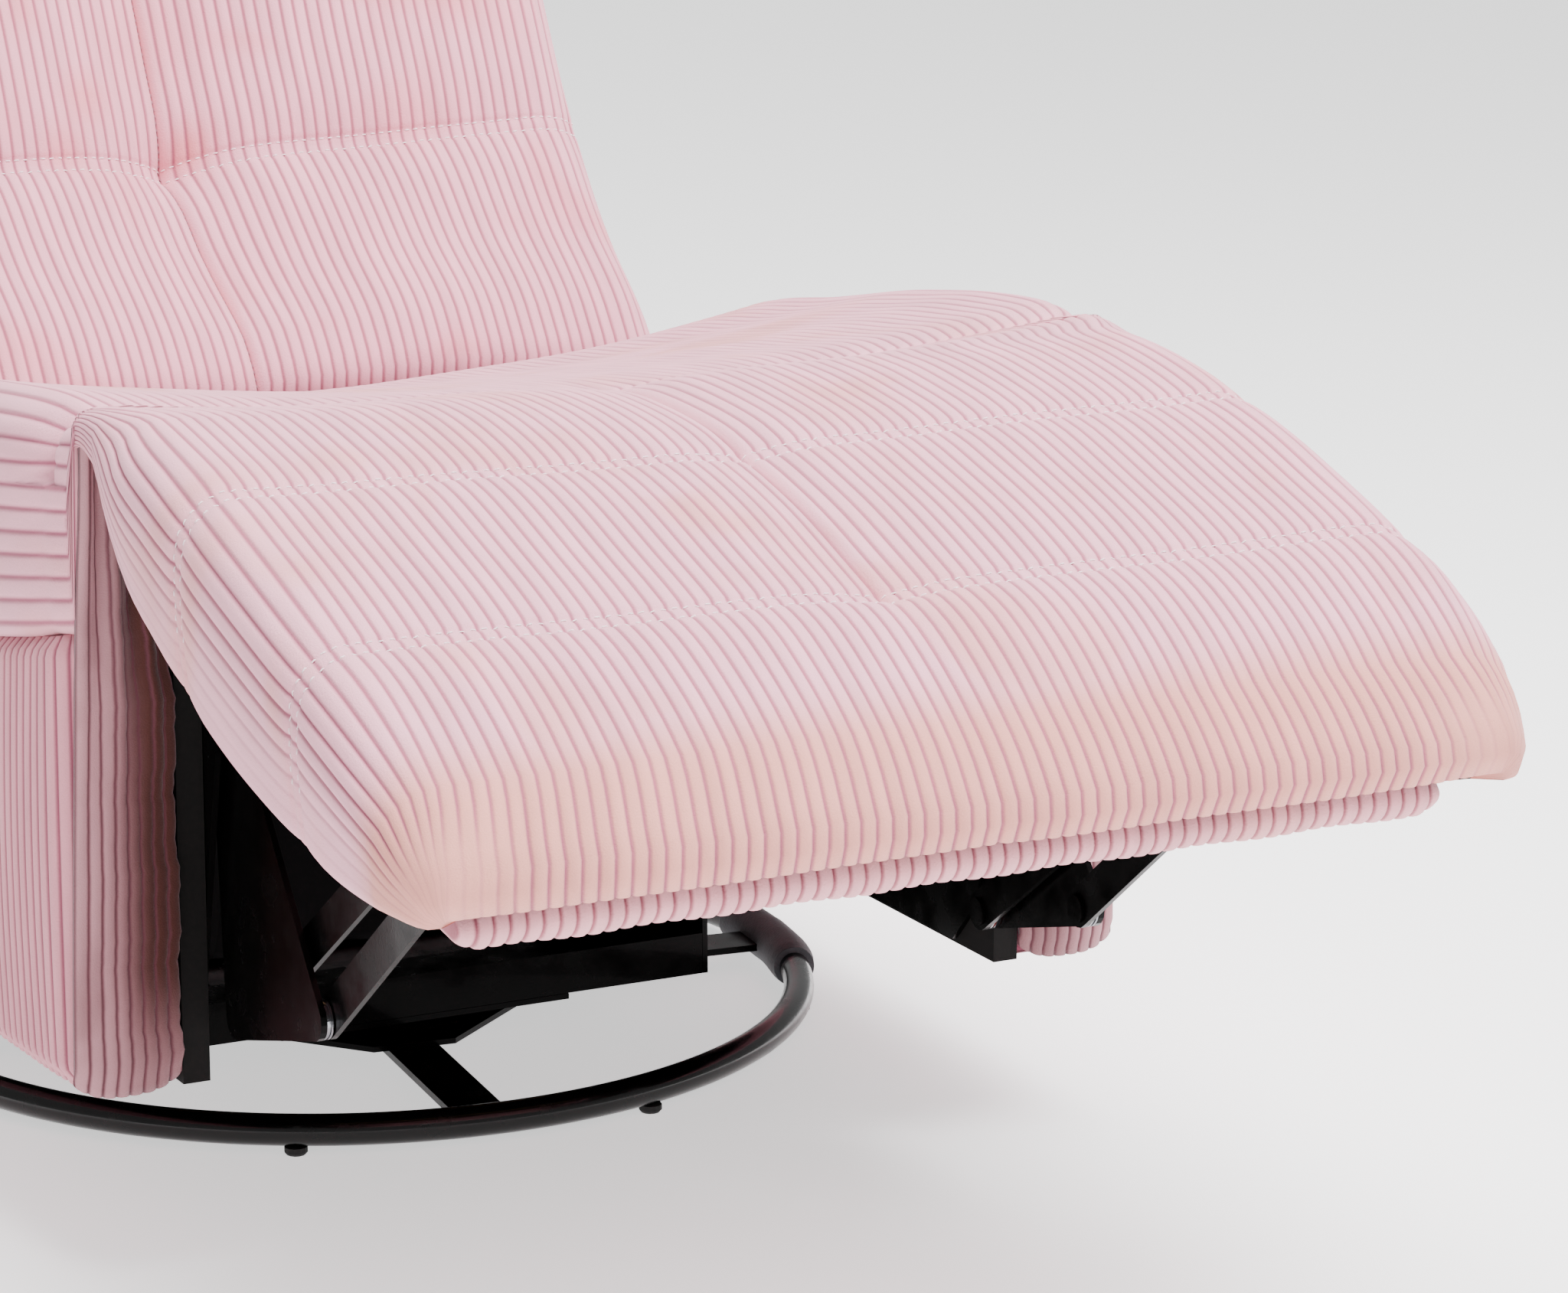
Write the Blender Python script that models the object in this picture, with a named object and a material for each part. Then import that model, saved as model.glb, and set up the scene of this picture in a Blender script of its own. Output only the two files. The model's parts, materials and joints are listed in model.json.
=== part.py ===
"""Swivel glider recliner with a chaise legrest, built from its separate pieces.

Metres, +Z up. The seat faces -Y. While it is built, the swivel axis stands at x = y = 0 and the
floor is z = 0; at the end everything is shifted so that the origin is below the middle of the box.
Pairs are called left and right as seen from the front: left is -X.
"""
import math

import bmesh
import bpy
from mathutils import Matrix, Vector

# Driving dimensions
RING_RADIUS = 0.33            # floor ring, to the tube's centre line
RING_TUBE = 0.011             # radius of the ring's tube
FOOT_HEIGHT = 0.006           # rubber studs under the ring
FOOT_RADIUS = 0.008
FEET = 8
BASE_TURN = math.radians(-6)  # the arms of the base stand a little off the seat's axes
ARM_WIDTH = 0.037
ARM_THICK = 0.005
HUB_REACH = 0.17              # hub plate, from the axis to its cut corners
HUB_NOSE = 0.03               # half width of a cut corner
PLATE = 0.004                 # steel plate of the mechanism
RACE_HEIGHT = 0.008
RACE_INNER = 0.070
RACE_OUTER = 0.092

SEAT_HEIGHT = 0.557           # crest of the seat above the floor
SEAT_WIDTH = 0.770
SEAT_THICK = 0.142            # padded seat slab
SEAT_SLOPE = 0.20             # the seat falls towards the back
SEAT_REAR = 0.100             # rear end of the seat slab
SIDE_FRONT = -0.459           # front faces of the side panels
SIDE_REAR = 0.270
SIDE_CLEAR = 0.119            # side panels' lower edge above the floor
SIDE_THICK = 0.084            # upholstered side panel
BOARD = 0.018                 # wooden side board
BACK_WIDTH = SEAT_WIDTH - 0.120
BACK_LENGTH = 0.660           # along the padded face
BACK_PAD = 0.100
BACK_FRAME = 0.030
BACK_SHELL = 0.019
BACK_FOOT_Y = 0.150           # where the back's face meets the seat
LEAN_LOW = math.radians(50)   # lean of the back's face from vertical, at the seat
LEAN_HIGH = math.radians(27)  # and above the lumbar bend
LUMBAR = 0.33                 # length of the bend along the face

LEGREST_END = -0.977          # nose of the legrest
LEGREST_WIDTH = SEAT_WIDTH - 0.035
LEGREST_FALL = 0.2235         # slope of the legrest's underside
LEGREST_BOARD = 0.016
FLAP_WIDTH = SEAT_WIDTH - 0.130   # padded board edge under the legrest's nose

GLIDE_PIVOT_Y = 0.130         # hanging links, from the swivel axis
GLIDE_LINK = 0.120            # between a hanging link's pivots
LINK_RADIUS = 0.013
STUD = 0.005                  # radius of the riveted studs
STUD_HEAD = 0.0095
RUNNING = 0.0005              # radial clearance of a link on its stud
GAP = 0.0004                  # between solids that touch
LAYER = 0.009                 # from one plate of the linkage to the next

# Heights and places that follow
RING_Z = FOOT_HEIGHT + RING_TUBE
ARM_Z = RING_Z - ARM_THICK / 2
HUB_Z = ARM_Z + ARM_THICK + GAP
RACE_Z = HUB_Z + PLATE + GAP
SWIVEL_Z = RACE_Z + RACE_HEIGHT + GAP
CROSS_Z = SWIVEL_Z + PLATE + GAP
CROSS_HEIGHT = 0.030
CROSS_WIDTH = 0.040
LOWER_PIVOT_Z = CROSS_Z + CROSS_HEIGHT + 0.058
UPPER_PIVOT_Z = LOWER_PIVOT_Z + GLIDE_LINK
DECK_FRONT = SEAT_HEIGHT - SEAT_THICK
BOARD_INNER = SEAT_WIDTH / 2 - SIDE_THICK - BOARD - GAP
MECH_X = BOARD_INNER - PLATE - GAP          # inner face of the fixed mechanism plate
CRANK_X = MECH_X - LAYER
STRAP_X = CRANK_X - LAYER
BRACKET_X = STRAP_X - LAYER
RAIL_X = BRACKET_X - 0.017
HANG_X = RAIL_X - LAYER
STANCHION_X = HANG_X - LAYER

# Legrest linkage, as (y, z) points of the side view
LEG_HINGE = (-0.590, DECK_FRONT - 0.005)
CRANK_PIVOT = (-0.460, DECK_FRONT - 0.028)
REAR_STRAP = (-0.478, CRANK_PIVOT[1] - 0.224)
FRONT_STRAP = (-0.609, CRANK_PIVOT[1] - 0.188)
REAR_STRAP_LENGTH = 0.250
REAR_STRAP_RISE = math.radians(35.2)
FRONT_STRAP_LENGTH = 0.178
FRONT_STRAP_RISE = math.radians(37.4)
RECLINE_PIVOT = (0.150, 0.280 + DECK_FRONT - 0.415)

TURN = 2 * math.pi


def clear_scene():
    for item in list(bpy.data.objects):
        bpy.data.objects.remove(item, do_unlink=True)


def linear(value):
    return value / 12.92 if value <= 0.04045 else ((value + 0.055) / 1.055) ** 2.4


def material(name, colour, roughness, metallic=0.0):
    made = bpy.data.materials.new(name)
    made.use_nodes = True
    shader = made.node_tree.nodes["Principled BSDF"]
    channels = [linear(int(colour[i:i + 2], 16) / 255) for i in (0, 2, 4)]
    shader.inputs["Base Color"].default_value = (*channels, 1)
    shader.inputs["Roughness"].default_value = roughness
    shader.inputs["Metallic"].default_value = metallic
    return made


clear_scene()
corduroy = material("corduroy", "E3BFC6", 0.95)
black_steel = material("black_steel", "0B0B0D", 0.22, 0.3)
rubber = material("rubber", "1A1A1A", 0.8)
foam = material("foam", "4A4A4C", 0.85)
timber = material("timber", "B08D62", 0.7)
black_board = material("black_board", "141312", 0.75)
spring_steel = material("spring_steel", "6A6B6E", 0.4, 0.9)
black_plastic = material("black_plastic", "17171A", 0.45)

pivots = {}


def body(name, parent, pivot):
    """Empty on a joint's axis; the pieces of one moving body hang on it."""
    holder = bpy.data.objects.new(name, None)
    bpy.context.collection.objects.link(holder)
    pivots[name] = Vector(pivot)
    if parent:
        holder.parent = bpy.data.objects[parent]
        holder.location = pivots[name] - pivots[parent]
    return name


def add(name, mesh, finish, holder, smooth=False):
    """One piece, its mesh in chair coordinates, hung on its body's empty."""
    piece = bpy.data.objects.new(name, mesh)
    bpy.context.collection.objects.link(piece)
    piece.parent = bpy.data.objects[holder]
    piece.matrix_parent_inverse = Matrix.Translation(-pivots[holder])
    mesh.materials.append(finish)
    if smooth:
        mesh.shade_smooth()
        mesh.set_sharp_from_angle(angle=math.radians(40))
    return piece


def closed(bm, name):
    """Finish a bmesh: faces outwards, then into a mesh."""
    bmesh.ops.recalc_face_normals(bm, faces=bm.faces)
    mesh = bpy.data.meshes.new(name)
    bm.to_mesh(mesh)
    bm.free()
    return mesh


def box(low, high, name="box"):
    bm = bmesh.new()
    bmesh.ops.create_cube(bm, size=1)
    size = Vector(high) - Vector(low)
    middle = (Vector(high) + Vector(low)) / 2
    for vert in bm.verts:
        vert.co = Vector(c * s for c, s in zip(vert.co, size)) + middle
    return closed(bm, name)


def sweep(sections, name):
    """Join like-sided closed sections into a solid and cap its two ends."""
    bm = bmesh.new()
    rings = [[bm.verts.new(point) for point in section] for section in sections]
    count = len(rings[0])
    for near, far in zip(rings, rings[1:]):
        for i in range(count):
            j = (i + 1) % count
            bm.faces.new((near[i], near[j], far[j], far[i]))
    bm.faces.new(rings[0])
    bm.faces.new(rings[-1])
    return closed(bm, name)


def circle(centre, radius, count=16):
    return [(centre[0] + radius * math.cos(TURN * i / count),
             centre[1] + radius * math.sin(TURN * i / count)) for i in range(count)]


def hull(points):
    """Convex outline round a set of (y, z) points, counter-clockwise."""
    points = sorted(set(points))

    def chain(run):
        out = []
        for p in run:
            while len(out) > 1 and ((out[-1][0] - out[-2][0]) * (p[1] - out[-2][1])
                                    - (out[-1][1] - out[-2][1]) * (p[0] - out[-2][0])) <= 1e-12:
                out.pop()
            out.append(p)
        return out[:-1]
    return chain(points) + chain(points[::-1])


def plate(outline, holes, low_x, high_x, name="plate"):
    """Flat plate standing in the YZ plane: an outline and round holes, given a thickness in X."""
    bm = bmesh.new()
    edges = []
    for loop in [outline] + [circle(h[:2], h[2]) for h in holes]:
        verts = [bm.verts.new((low_x, y, z)) for y, z in loop]
        edges += [bm.edges.new((a, b)) for a, b in zip(verts, verts[1:] + verts[:1])]
    bmesh.ops.triangle_fill(bm, use_beauty=True, use_dissolve=False, edges=edges)
    grown = bmesh.ops.extrude_face_region(bm, geom=bm.faces[:])
    moved = [g for g in grown["geom"] if isinstance(g, bmesh.types.BMVert)]
    bmesh.ops.translate(bm, verts=moved, vec=(high_x - low_x, 0, 0))
    return closed(bm, name)


def disc(radius, low, high, inner=0.0, count=48, name="disc"):
    """Round plate or ring about the swivel axis."""
    outer = [circle((0, 0), radius, count)]
    bm = bmesh.new()
    edges = []
    for loop in outer + ([circle((0, 0), inner, count)] if inner else []):
        verts = [bm.verts.new((x, y, low)) for x, y in loop]
        edges += [bm.edges.new((a, b)) for a, b in zip(verts, verts[1:] + verts[:1])]
    bmesh.ops.triangle_fill(bm, use_beauty=True, use_dissolve=False, edges=edges)
    grown = bmesh.ops.extrude_face_region(bm, geom=bm.faces[:])
    moved = [g for g in grown["geom"] if isinstance(g, bmesh.types.BMVert)]
    bmesh.ops.translate(bm, verts=moved, vec=(0, 0, high - low))
    return closed(bm, name)


def rod(centre, low_x, high_x, radius, count=16, name="rod"):
    """Round bar along X at a (y, z) point."""
    ends = [[(x, y, z) for y, z in circle(centre, radius, count)] for x in (low_x, high_x)]
    return sweep(ends, name)


def tool(mesh, target, operation):
    """Join a shape to a piece, or cut it away, with the exact Boolean solver."""
    cutter = bpy.data.objects.new(target.name + "_" + operation.lower(), mesh)
    bpy.context.collection.objects.link(cutter)
    cutter.parent = target.parent
    cutter.matrix_parent_inverse = target.matrix_parent_inverse
    cutter.hide_render = True
    cutter.display_type = "WIRE"
    boolean = target.modifiers.new(operation.title(), "BOOLEAN")
    boolean.operation = operation
    boolean.solver = "EXACT"
    boolean.object = cutter


def stud(target, centre, side, root_x, tip_x):
    """Riveted stud from a plate through its neighbour, with a head past the running gap."""
    head = 0.002
    inward = 1 if tip_x > root_x else -1
    steps = [(root_x - inward * PLATE / 2, STUD_HEAD), (root_x + inward * (LAYER - PLATE - GAP), STUD_HEAD),
             (root_x + inward * (LAYER - PLATE - GAP), STUD), (tip_x, STUD),
             (tip_x, STUD_HEAD), (tip_x + inward * head, STUD_HEAD)]
    sections = [[(side * x, y, z) for y, z in circle(centre, radius)] for x, radius in steps]
    tool(sweep(sections, "stud"), target, "UNION")


def span(side, near, far):
    """The two x values of a layer on one side of the chair, lowest first."""
    return sorted((side * near, side * far))


SIDES = (("left", -1), ("right", 1))

# Bodies and the joints between them
body("base", None, (0, 0, 0))
body("swivel", "base", (0, 0, SWIVEL_Z))
body("glide_front", "swivel", (0, -GLIDE_PIVOT_Y, UPPER_PIVOT_Z))
body("glide_rear", "swivel", (0, GLIDE_PIVOT_Y, UPPER_PIVOT_Z))
body("seat", "glide_front", (0, -GLIDE_PIVOT_Y, LOWER_PIVOT_Z))
body("back", "seat", (0, *RECLINE_PIVOT))
body("legrest", "seat", (0, *LEG_HINGE))
body("crank", "seat", (0, *CRANK_PIVOT))
body("rear_straps", "crank", (0, *REAR_STRAP))
body("front_straps", "crank", (0, *FRONT_STRAP))


# Base: tubular ring on rubber studs, four flat arms and a hub plate
def ring_section(angle, radius, count):
    out = Vector((math.cos(angle), math.sin(angle), 0))
    return [out * (RING_RADIUS + radius * math.cos(TURN * i / count))
            + Vector((0, 0, RING_Z + radius * math.sin(TURN * i / count))) for i in range(count)]


def ring_mesh(steps=72, count=10):
    bm = bmesh.new()
    rings = [[bm.verts.new(p) for p in ring_section(TURN * k / steps, RING_TUBE, count)]
             for k in range(steps)]
    for near, far in zip(rings, rings[1:] + rings[:1]):
        for i in range(count):
            j = (i + 1) % count
            bm.faces.new((near[i], near[j], far[j], far[i]))
    return closed(bm, "base_ring")


add("base_ring", ring_mesh(), black_steel, "base", smooth=True)


def sleeve_mesh(first, last, inner, outer, steps=8, count=12):
    """Foam tube along a stretch of the ring, open at both ends."""
    bm = bmesh.new()
    angles = [first + (last - first) * k / steps for k in range(steps + 1)]
    skins = [[[bm.verts.new(p) for p in ring_section(a, radius, count)] for a in angles]
             for radius in (inner, outer)]
    for rings in skins:
        for near, far in zip(rings, rings[1:]):
            for i in range(count):
                j = (i + 1) % count
                bm.faces.new((near[i], near[j], far[j], far[i]))
    for end in (0, -1):
        for i in range(count):
            j = (i + 1) % count
            bm.faces.new((skins[0][end][i], skins[0][end][j], skins[1][end][j], skins[1][end][i]))
    return closed(bm, "ring_sleeve")


SLEEVE_OUTER = RING_TUBE + 0.0055
sleeve = add("ring_sleeve", sleeve_mesh(BASE_TURN - math.radians(13), BASE_TURN + math.radians(10),
                                        RING_TUBE + 0.0012, SLEEVE_OUTER), foam, "base", smooth=True)

foot_step = TURN / FEET
for k in range(FEET):
    angle = BASE_TURN + foot_step * (k + 0.5)
    centre = Vector((RING_RADIUS * math.cos(angle), RING_RADIUS * math.sin(angle), 0))
    stations = ((0.0, FOOT_RADIUS * 0.8), (FOOT_HEIGHT * 0.3, FOOT_RADIUS), (FOOT_HEIGHT - GAP, FOOT_RADIUS))
    sections = [[centre + Vector((x, y, z)) for x, y in circle((0, 0), r, 12)] for z, r in stations]
    add(f"ring_foot_{k + 1}", sweep(sections, "ring_foot"), rubber, "base", smooth=True)

ARM_INNER = 0.045
ARM_END = RING_RADIUS - RING_TUBE - 3 * GAP   # its corners clear the ring as well
for k in range(4):
    angle = BASE_TURN + TURN * k / 4
    arm = box((ARM_INNER, -ARM_WIDTH / 2, ARM_Z), (ARM_END, ARM_WIDTH / 2, ARM_Z + ARM_THICK))
    arm.transform(Matrix.Rotation(angle, 4, "Z"))
    add(f"base_arm_{k + 1}", arm, black_steel, "base")

slot = box((RING_RADIUS - RING_TUBE - 0.02, -ARM_WIDTH / 2 - 0.001, ARM_Z - 0.001),
           (RING_RADIUS, ARM_WIDTH / 2 + 0.001, ARM_Z + ARM_THICK + 0.001))
slot.transform(Matrix.Rotation(BASE_TURN, 4, "Z"))
tool(slot, sleeve, "DIFFERENCE")


def hub_outline():
    """Square with its corners cut, a corner over each arm."""
    nose = [(HUB_REACH, -HUB_NOSE), (HUB_REACH, HUB_NOSE)]
    turns = [(math.cos(BASE_TURN + TURN * k / 4), math.sin(BASE_TURN + TURN * k / 4)) for k in range(4)]
    return [(x * c - y * s, x * s + y * c) for c, s in turns for x, y in nose]


add("hub_plate", sweep([[(x, y, z) for x, y in hub_outline()] for z in (HUB_Z, HUB_Z + PLATE)], "hub_plate"),
    black_steel, "base")
add("swivel_race", disc(RACE_OUTER, RACE_Z, RACE_Z + RACE_HEIGHT, RACE_INNER), spring_steel, "base",
    smooth=True)

# Swivel frame: turning plate, two channels across it and a stanchion at each side
CROSS_END = STANCHION_X - GAP
swivel_half_y = GLIDE_PIVOT_Y + CROSS_WIDTH / 2
add("swivel_plate", box((-0.11, -swivel_half_y, SWIVEL_Z), (0.11, swivel_half_y, SWIVEL_Z + PLATE)),
    black_steel, "swivel")
for name, y in (("front", -GLIDE_PIVOT_Y), ("rear", GLIDE_PIVOT_Y)):
    half, wall = CROSS_WIDTH / 2, 0.003
    top, low = CROSS_Z + CROSS_HEIGHT, CROSS_Z
    channel = [(y - half, low), (y - half + wall, low), (y - half + wall, top - wall),
               (y + half - wall, top - wall), (y + half - wall, low), (y + half, low),
               (y + half, top), (y - half, top)]
    add(f"glider_channel_{name}", plate(channel, [], -CROSS_END, CROSS_END), black_steel, "swivel")

EAR = 0.018
for label, side in SIDES:
    corners = [p for y in (-GLIDE_PIVOT_Y, GLIDE_PIVOT_Y) for p in circle((y, UPPER_PIVOT_Z), EAR)]
    outline = hull(corners + [(y, CROSS_Z) for y in (-swivel_half_y, swivel_half_y)])
    window = [(0, (CROSS_Z + UPPER_PIVOT_Z) / 2 + 0.01, 0.055)]
    stanchion = add(f"glider_stanchion_{label}",
                    plate(outline, window, *span(side, STANCHION_X, STANCHION_X + PLATE)),
                    black_steel, "swivel")
    for y in (-GLIDE_PIVOT_Y, GLIDE_PIVOT_Y):
        stud(stanchion, (y, UPPER_PIVOT_Z), side, STANCHION_X + PLATE, HANG_X + PLATE + GAP)


# Hanging links of the glide
def link_outline(*ends, radius=LINK_RADIUS):
    return hull([p for end in ends for p in circle(end, radius)])


HOLE = STUD + RUNNING
REAR_SLACK = 0.0015           # wider lower hole of the rear links, so that the four never bind
for name, y in (("front", -GLIDE_PIVOT_Y), ("rear", GLIDE_PIVOT_Y)):
    for label, side in SIDES:
        low = (y, LOWER_PIVOT_Z)
        high = (y, UPPER_PIVOT_Z)
        lower_hole = HOLE + (REAR_SLACK if name == "rear" else 0)
        mesh = plate(link_outline(low, high), [(*low, lower_hole), (*high, HOLE)],
                     *span(side, HANG_X, HANG_X + PLATE))
        add(f"glide_link_{name}_{label}", mesh, black_steel, f"glide_{name}")

# Seat box: rails, mechanism plates, side boards, stretchers and springs
RAIL_Y = GLIDE_PIVOT_Y + 0.06
RAIL_LOW = LOWER_PIVOT_Z - 0.022
RAIL_HIGH = LOWER_PIVOT_Z + 0.030
FLANGE_Z = RAIL_HIGH - 0.003
for label, side in SIDES:
    web = [(-RAIL_Y, RAIL_LOW), (RAIL_Y, RAIL_LOW), (RAIL_Y, RAIL_HIGH), (-RAIL_Y, RAIL_HIGH)]
    rail = add(f"seat_rail_{label}", plate(web, [], *span(side, RAIL_X, RAIL_X + PLATE)),
               black_steel, "seat")
    near, far = span(side, RAIL_X + PLATE / 2, MECH_X - GAP)
    tool(box((near, -RAIL_Y, FLANGE_Z), (far, RAIL_Y, RAIL_HIGH)), rail, "UNION")
    for y in (-GLIDE_PIVOT_Y, GLIDE_PIVOT_Y):
        stud(rail, (y, LOWER_PIVOT_Z), side, RAIL_X, HANG_X - GAP)


def deck(y):
    """Underside of the seat slab: it falls to the back, and rises to the legrest hinge at the front."""
    if y > SIDE_FRONT:
        return DECK_FRONT - SEAT_SLOPE * (y - SIDE_FRONT)
    return DECK_FRONT + (SIDE_FRONT - y) * 0.18


ARM_HALF = 0.016
MECH_REAR = 0.120
MECH_LOW = min(REAR_STRAP[1] - 0.040, RAIL_HIGH - 0.032)   # it always reaches the rail's flange
for label, side in SIDES:
    outline = [(MECH_REAR, MECH_LOW), (MECH_REAR, deck(MECH_REAR) - 0.004),
               (CRANK_PIVOT[0] + 0.02, deck(CRANK_PIVOT[0] + 0.02) - 0.006),
               (LEG_HINGE[0], LEG_HINGE[1] + 0.0115), (LEG_HINGE[0] - 0.0115, LEG_HINGE[1]),
               (LEG_HINGE[0] - 0.006, LEG_HINGE[1] - 0.012), (CRANK_PIVOT[0] - 0.02, CRANK_PIVOT[1] - 0.05),
               (SIDE_FRONT + 0.016, MECH_LOW + 0.035), (SIDE_FRONT + 0.05, MECH_LOW)]
    mech = add(f"mechanism_plate_{label}", plate(outline, [], *span(side, MECH_X, MECH_X + PLATE)),
               black_steel, "seat")
    stud(mech, CRANK_PIVOT, side, MECH_X, CRANK_X - GAP)
    bracket_stud = [(MECH_X + PLATE / 2, STUD_HEAD), (BRACKET_X + PLATE + GAP, STUD_HEAD),
                    (BRACKET_X + PLATE + GAP, STUD), (BRACKET_X - GAP, STUD), (BRACKET_X - GAP, STUD_HEAD),
                    (BRACKET_X - 0.002, STUD_HEAD)]
    tool(sweep([[(side * x, y, z) for y, z in circle(LEG_HINGE, r)] for x, r in bracket_stud], "stud"),
         mech, "UNION")

for label, side in SIDES:
    outline = [(SIDE_FRONT, SIDE_CLEAR), (SIDE_REAR, SIDE_CLEAR), (SIDE_REAR, deck(SIDE_REAR) - GAP),
               (SIDE_FRONT, deck(SIDE_FRONT) - GAP)]
    near, far = span(side, BOARD_INNER, BOARD_INNER + BOARD)
    add(f"side_board_{label}", plate(outline, [], near, far), black_board, "seat")
    outer = SEAT_WIDTH / 2
    inner = BOARD_INNER + BOARD + GAP
    stations = ((SIDE_FRONT, 0.030), (SIDE_FRONT + 0.012, 0.014), (SIDE_FRONT + 0.06, 0.004),
                (SIDE_FRONT + 0.20, 0.0), (SIDE_REAR - 0.06, 0.0), (SIDE_REAR, 0.014))
    sections = []
    for y, tuck in stations:
        face = outer - tuck
        top = deck(y) - GAP
        profile = [(inner, SIDE_CLEAR), (face - 0.016, SIDE_CLEAR), (face - 0.004, SIDE_CLEAR + 0.012),
                   (face, SIDE_CLEAR + 0.06), (face, top - 0.02), (face - 0.003, top), (inner, top)]
        sections.append([(side * x, y, z) for x, z in profile])
    add(f"side_cover_{label}", sweep(sections, "side_cover"), corduroy, "seat", smooth=True)

REAR_PANEL_TOP = 0.235
REAR_PANEL = 0.020
add("rear_panel", box((-BOARD_INNER + GAP, SIDE_REAR - 0.005 - REAR_PANEL, SIDE_CLEAR),
                      (BOARD_INNER - GAP, SIDE_REAR - 0.005, REAR_PANEL_TOP)), corduroy, "seat")

# Release latch: a cup let into the left side cover and a paddle that is pulled outwards
LATCH_Y, LATCH_Z = -0.060, 0.235
CUP_LENGTH, CUP_HEIGHT, CUP_DEPTH, CUP_WALL = 0.120, 0.060, 0.034, 0.003
FACE = SEAT_WIDTH / 2
cover = bpy.data.objects["side_cover_left"]


def latch_box(inset, depth, proud=0.0):
    """Box in the left side: inset from the cup's outline, and depth in from the face."""
    return box((-FACE - proud, LATCH_Y - CUP_LENGTH / 2 + inset, LATCH_Z - CUP_HEIGHT / 2 + inset),
               (-FACE + depth, LATCH_Y + CUP_LENGTH / 2 - inset, LATCH_Z + CUP_HEIGHT / 2 - inset))


tool(latch_box(-GAP, CUP_DEPTH + GAP, proud=0.01), cover, "DIFFERENCE")
cup = add("latch_cup", latch_box(0.0, CUP_DEPTH), black_plastic, "seat")
tool(latch_box(CUP_WALL, CUP_DEPTH - CUP_WALL, proud=0.01), cup, "DIFFERENCE")
PADDLE_GAP = 0.001
PADDLE_FRONT = LATCH_Y - CUP_LENGTH / 2 + CUP_WALL + 0.004
paddle_rear = LATCH_Y + CUP_LENGTH * 0.22
paddle_half = CUP_HEIGHT / 2 - CUP_WALL - PADDLE_GAP
body("latch", "seat", (-FACE + 0.005, PADDLE_FRONT + 0.003, LATCH_Z))
paddle = [(-FACE + 0.0015, PADDLE_FRONT), (-FACE + 0.0085, PADDLE_FRONT),
          (-FACE + 0.0085, paddle_rear - 0.012), (-FACE + 0.014, paddle_rear),
          (-FACE + 0.010, paddle_rear + 0.003), (-FACE + 0.0015, paddle_rear - 0.008)]
add("latch_paddle", sweep([[(x, y, z) for x, y in paddle]
                           for z in (LATCH_Z - paddle_half, LATCH_Z + paddle_half)], "latch_paddle"),
    black_plastic, "latch")

STRETCHER_X = MECH_X - GAP
FRONT_RAIL_Y = -0.530
REAR_RAIL_Y = 0.052
RAIL_DEPTH = 0.030
RAIL_HEIGHT = 0.034
front_top = deck(FRONT_RAIL_Y + RAIL_DEPTH) - 0.002
inner_x = BRACKET_X - 0.006
add("seat_front_rail", box((-inner_x, FRONT_RAIL_Y, front_top - RAIL_HEIGHT),
                           (inner_x, FRONT_RAIL_Y + RAIL_DEPTH, front_top)), timber, "seat")
rear_top = deck(REAR_RAIL_Y + RAIL_DEPTH) - 0.002
add("seat_rear_rail", box((-STRETCHER_X, REAR_RAIL_Y, rear_top - RAIL_HEIGHT),
                          (STRETCHER_X, REAR_RAIL_Y + RAIL_DEPTH, rear_top)), timber, "seat")


def spring_mesh(x, half_wave=0.022, waves=9, wire=0.0019, sides=5):
    """Sinuous spring: wire waving in X along the deck, from the rear rail to the front rail."""
    first, last = REAR_RAIL_Y - 0.006, FRONT_RAIL_Y + RAIL_DEPTH + 0.006
    steps = waves * 6
    path = []
    for k in range(steps + 1):
        y = first + (last - first) * k / steps
        sag = 0.010 + 0.012 * math.sin(math.pi * k / steps)
        path.append(Vector((x + half_wave * math.sin(TURN * waves * k / steps / 2), y, deck(y) - sag)))
    sections = []
    for k, point in enumerate(path):
        ahead = (path[min(k + 1, steps)] - path[max(k - 1, 0)]).normalized()
        across = ahead.cross(Vector((0, 0, 1))).normalized()
        up = across.cross(ahead)
        angles = [TURN * i / sides for i in range(sides)]
        sections.append([point + wire * (across * math.cos(a) + up * math.sin(a)) for a in angles])
    return sweep(sections, "seat_spring")


SPRINGS = 3
spring_pitch = 2 * inner_x / (SPRINGS + 1)
for k in range(SPRINGS):
    add(f"seat_spring_{k + 1}", spring_mesh((k - (SPRINGS - 1) / 2) * spring_pitch), spring_steel, "seat")


# Padded seat slab and legrest: crest, dished middle and rounded edges
def crown(y):
    """Height of the padding's top at its side crests: a parabola each side of the crest line."""
    crest_y = -0.49
    if y > crest_y:
        run = y - crest_y
        return SEAT_HEIGHT - 0.06 * min(run, 0.12) - SEAT_SLOPE * max(0.0, run - 0.12) * 0.96
    run = crest_y - y
    return SEAT_HEIGHT - 0.55 * run * run


def slab_section(y, half, low, high, dish, edge=0.035):
    """Cross-section of the padding at one y: flat below, rounded at the edges and dished on top."""
    edge = min(edge, (high - low) * 0.45)
    right = [(half - 0.012, low), (half - 0.003, low + edge * 0.4), (half, (low + high) / 2),
             (half - edge * 0.15, high - edge * 0.6), (half - edge * 0.5, high - edge * 0.18),
             (half - edge * 1.2, high), (half * 0.60, high - dish * 0.45), (half * 0.25, high - dish)]
    left = [(-x, z) for x, z in reversed(right)]
    return [(x, y, z) for x, z in right + left]


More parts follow.
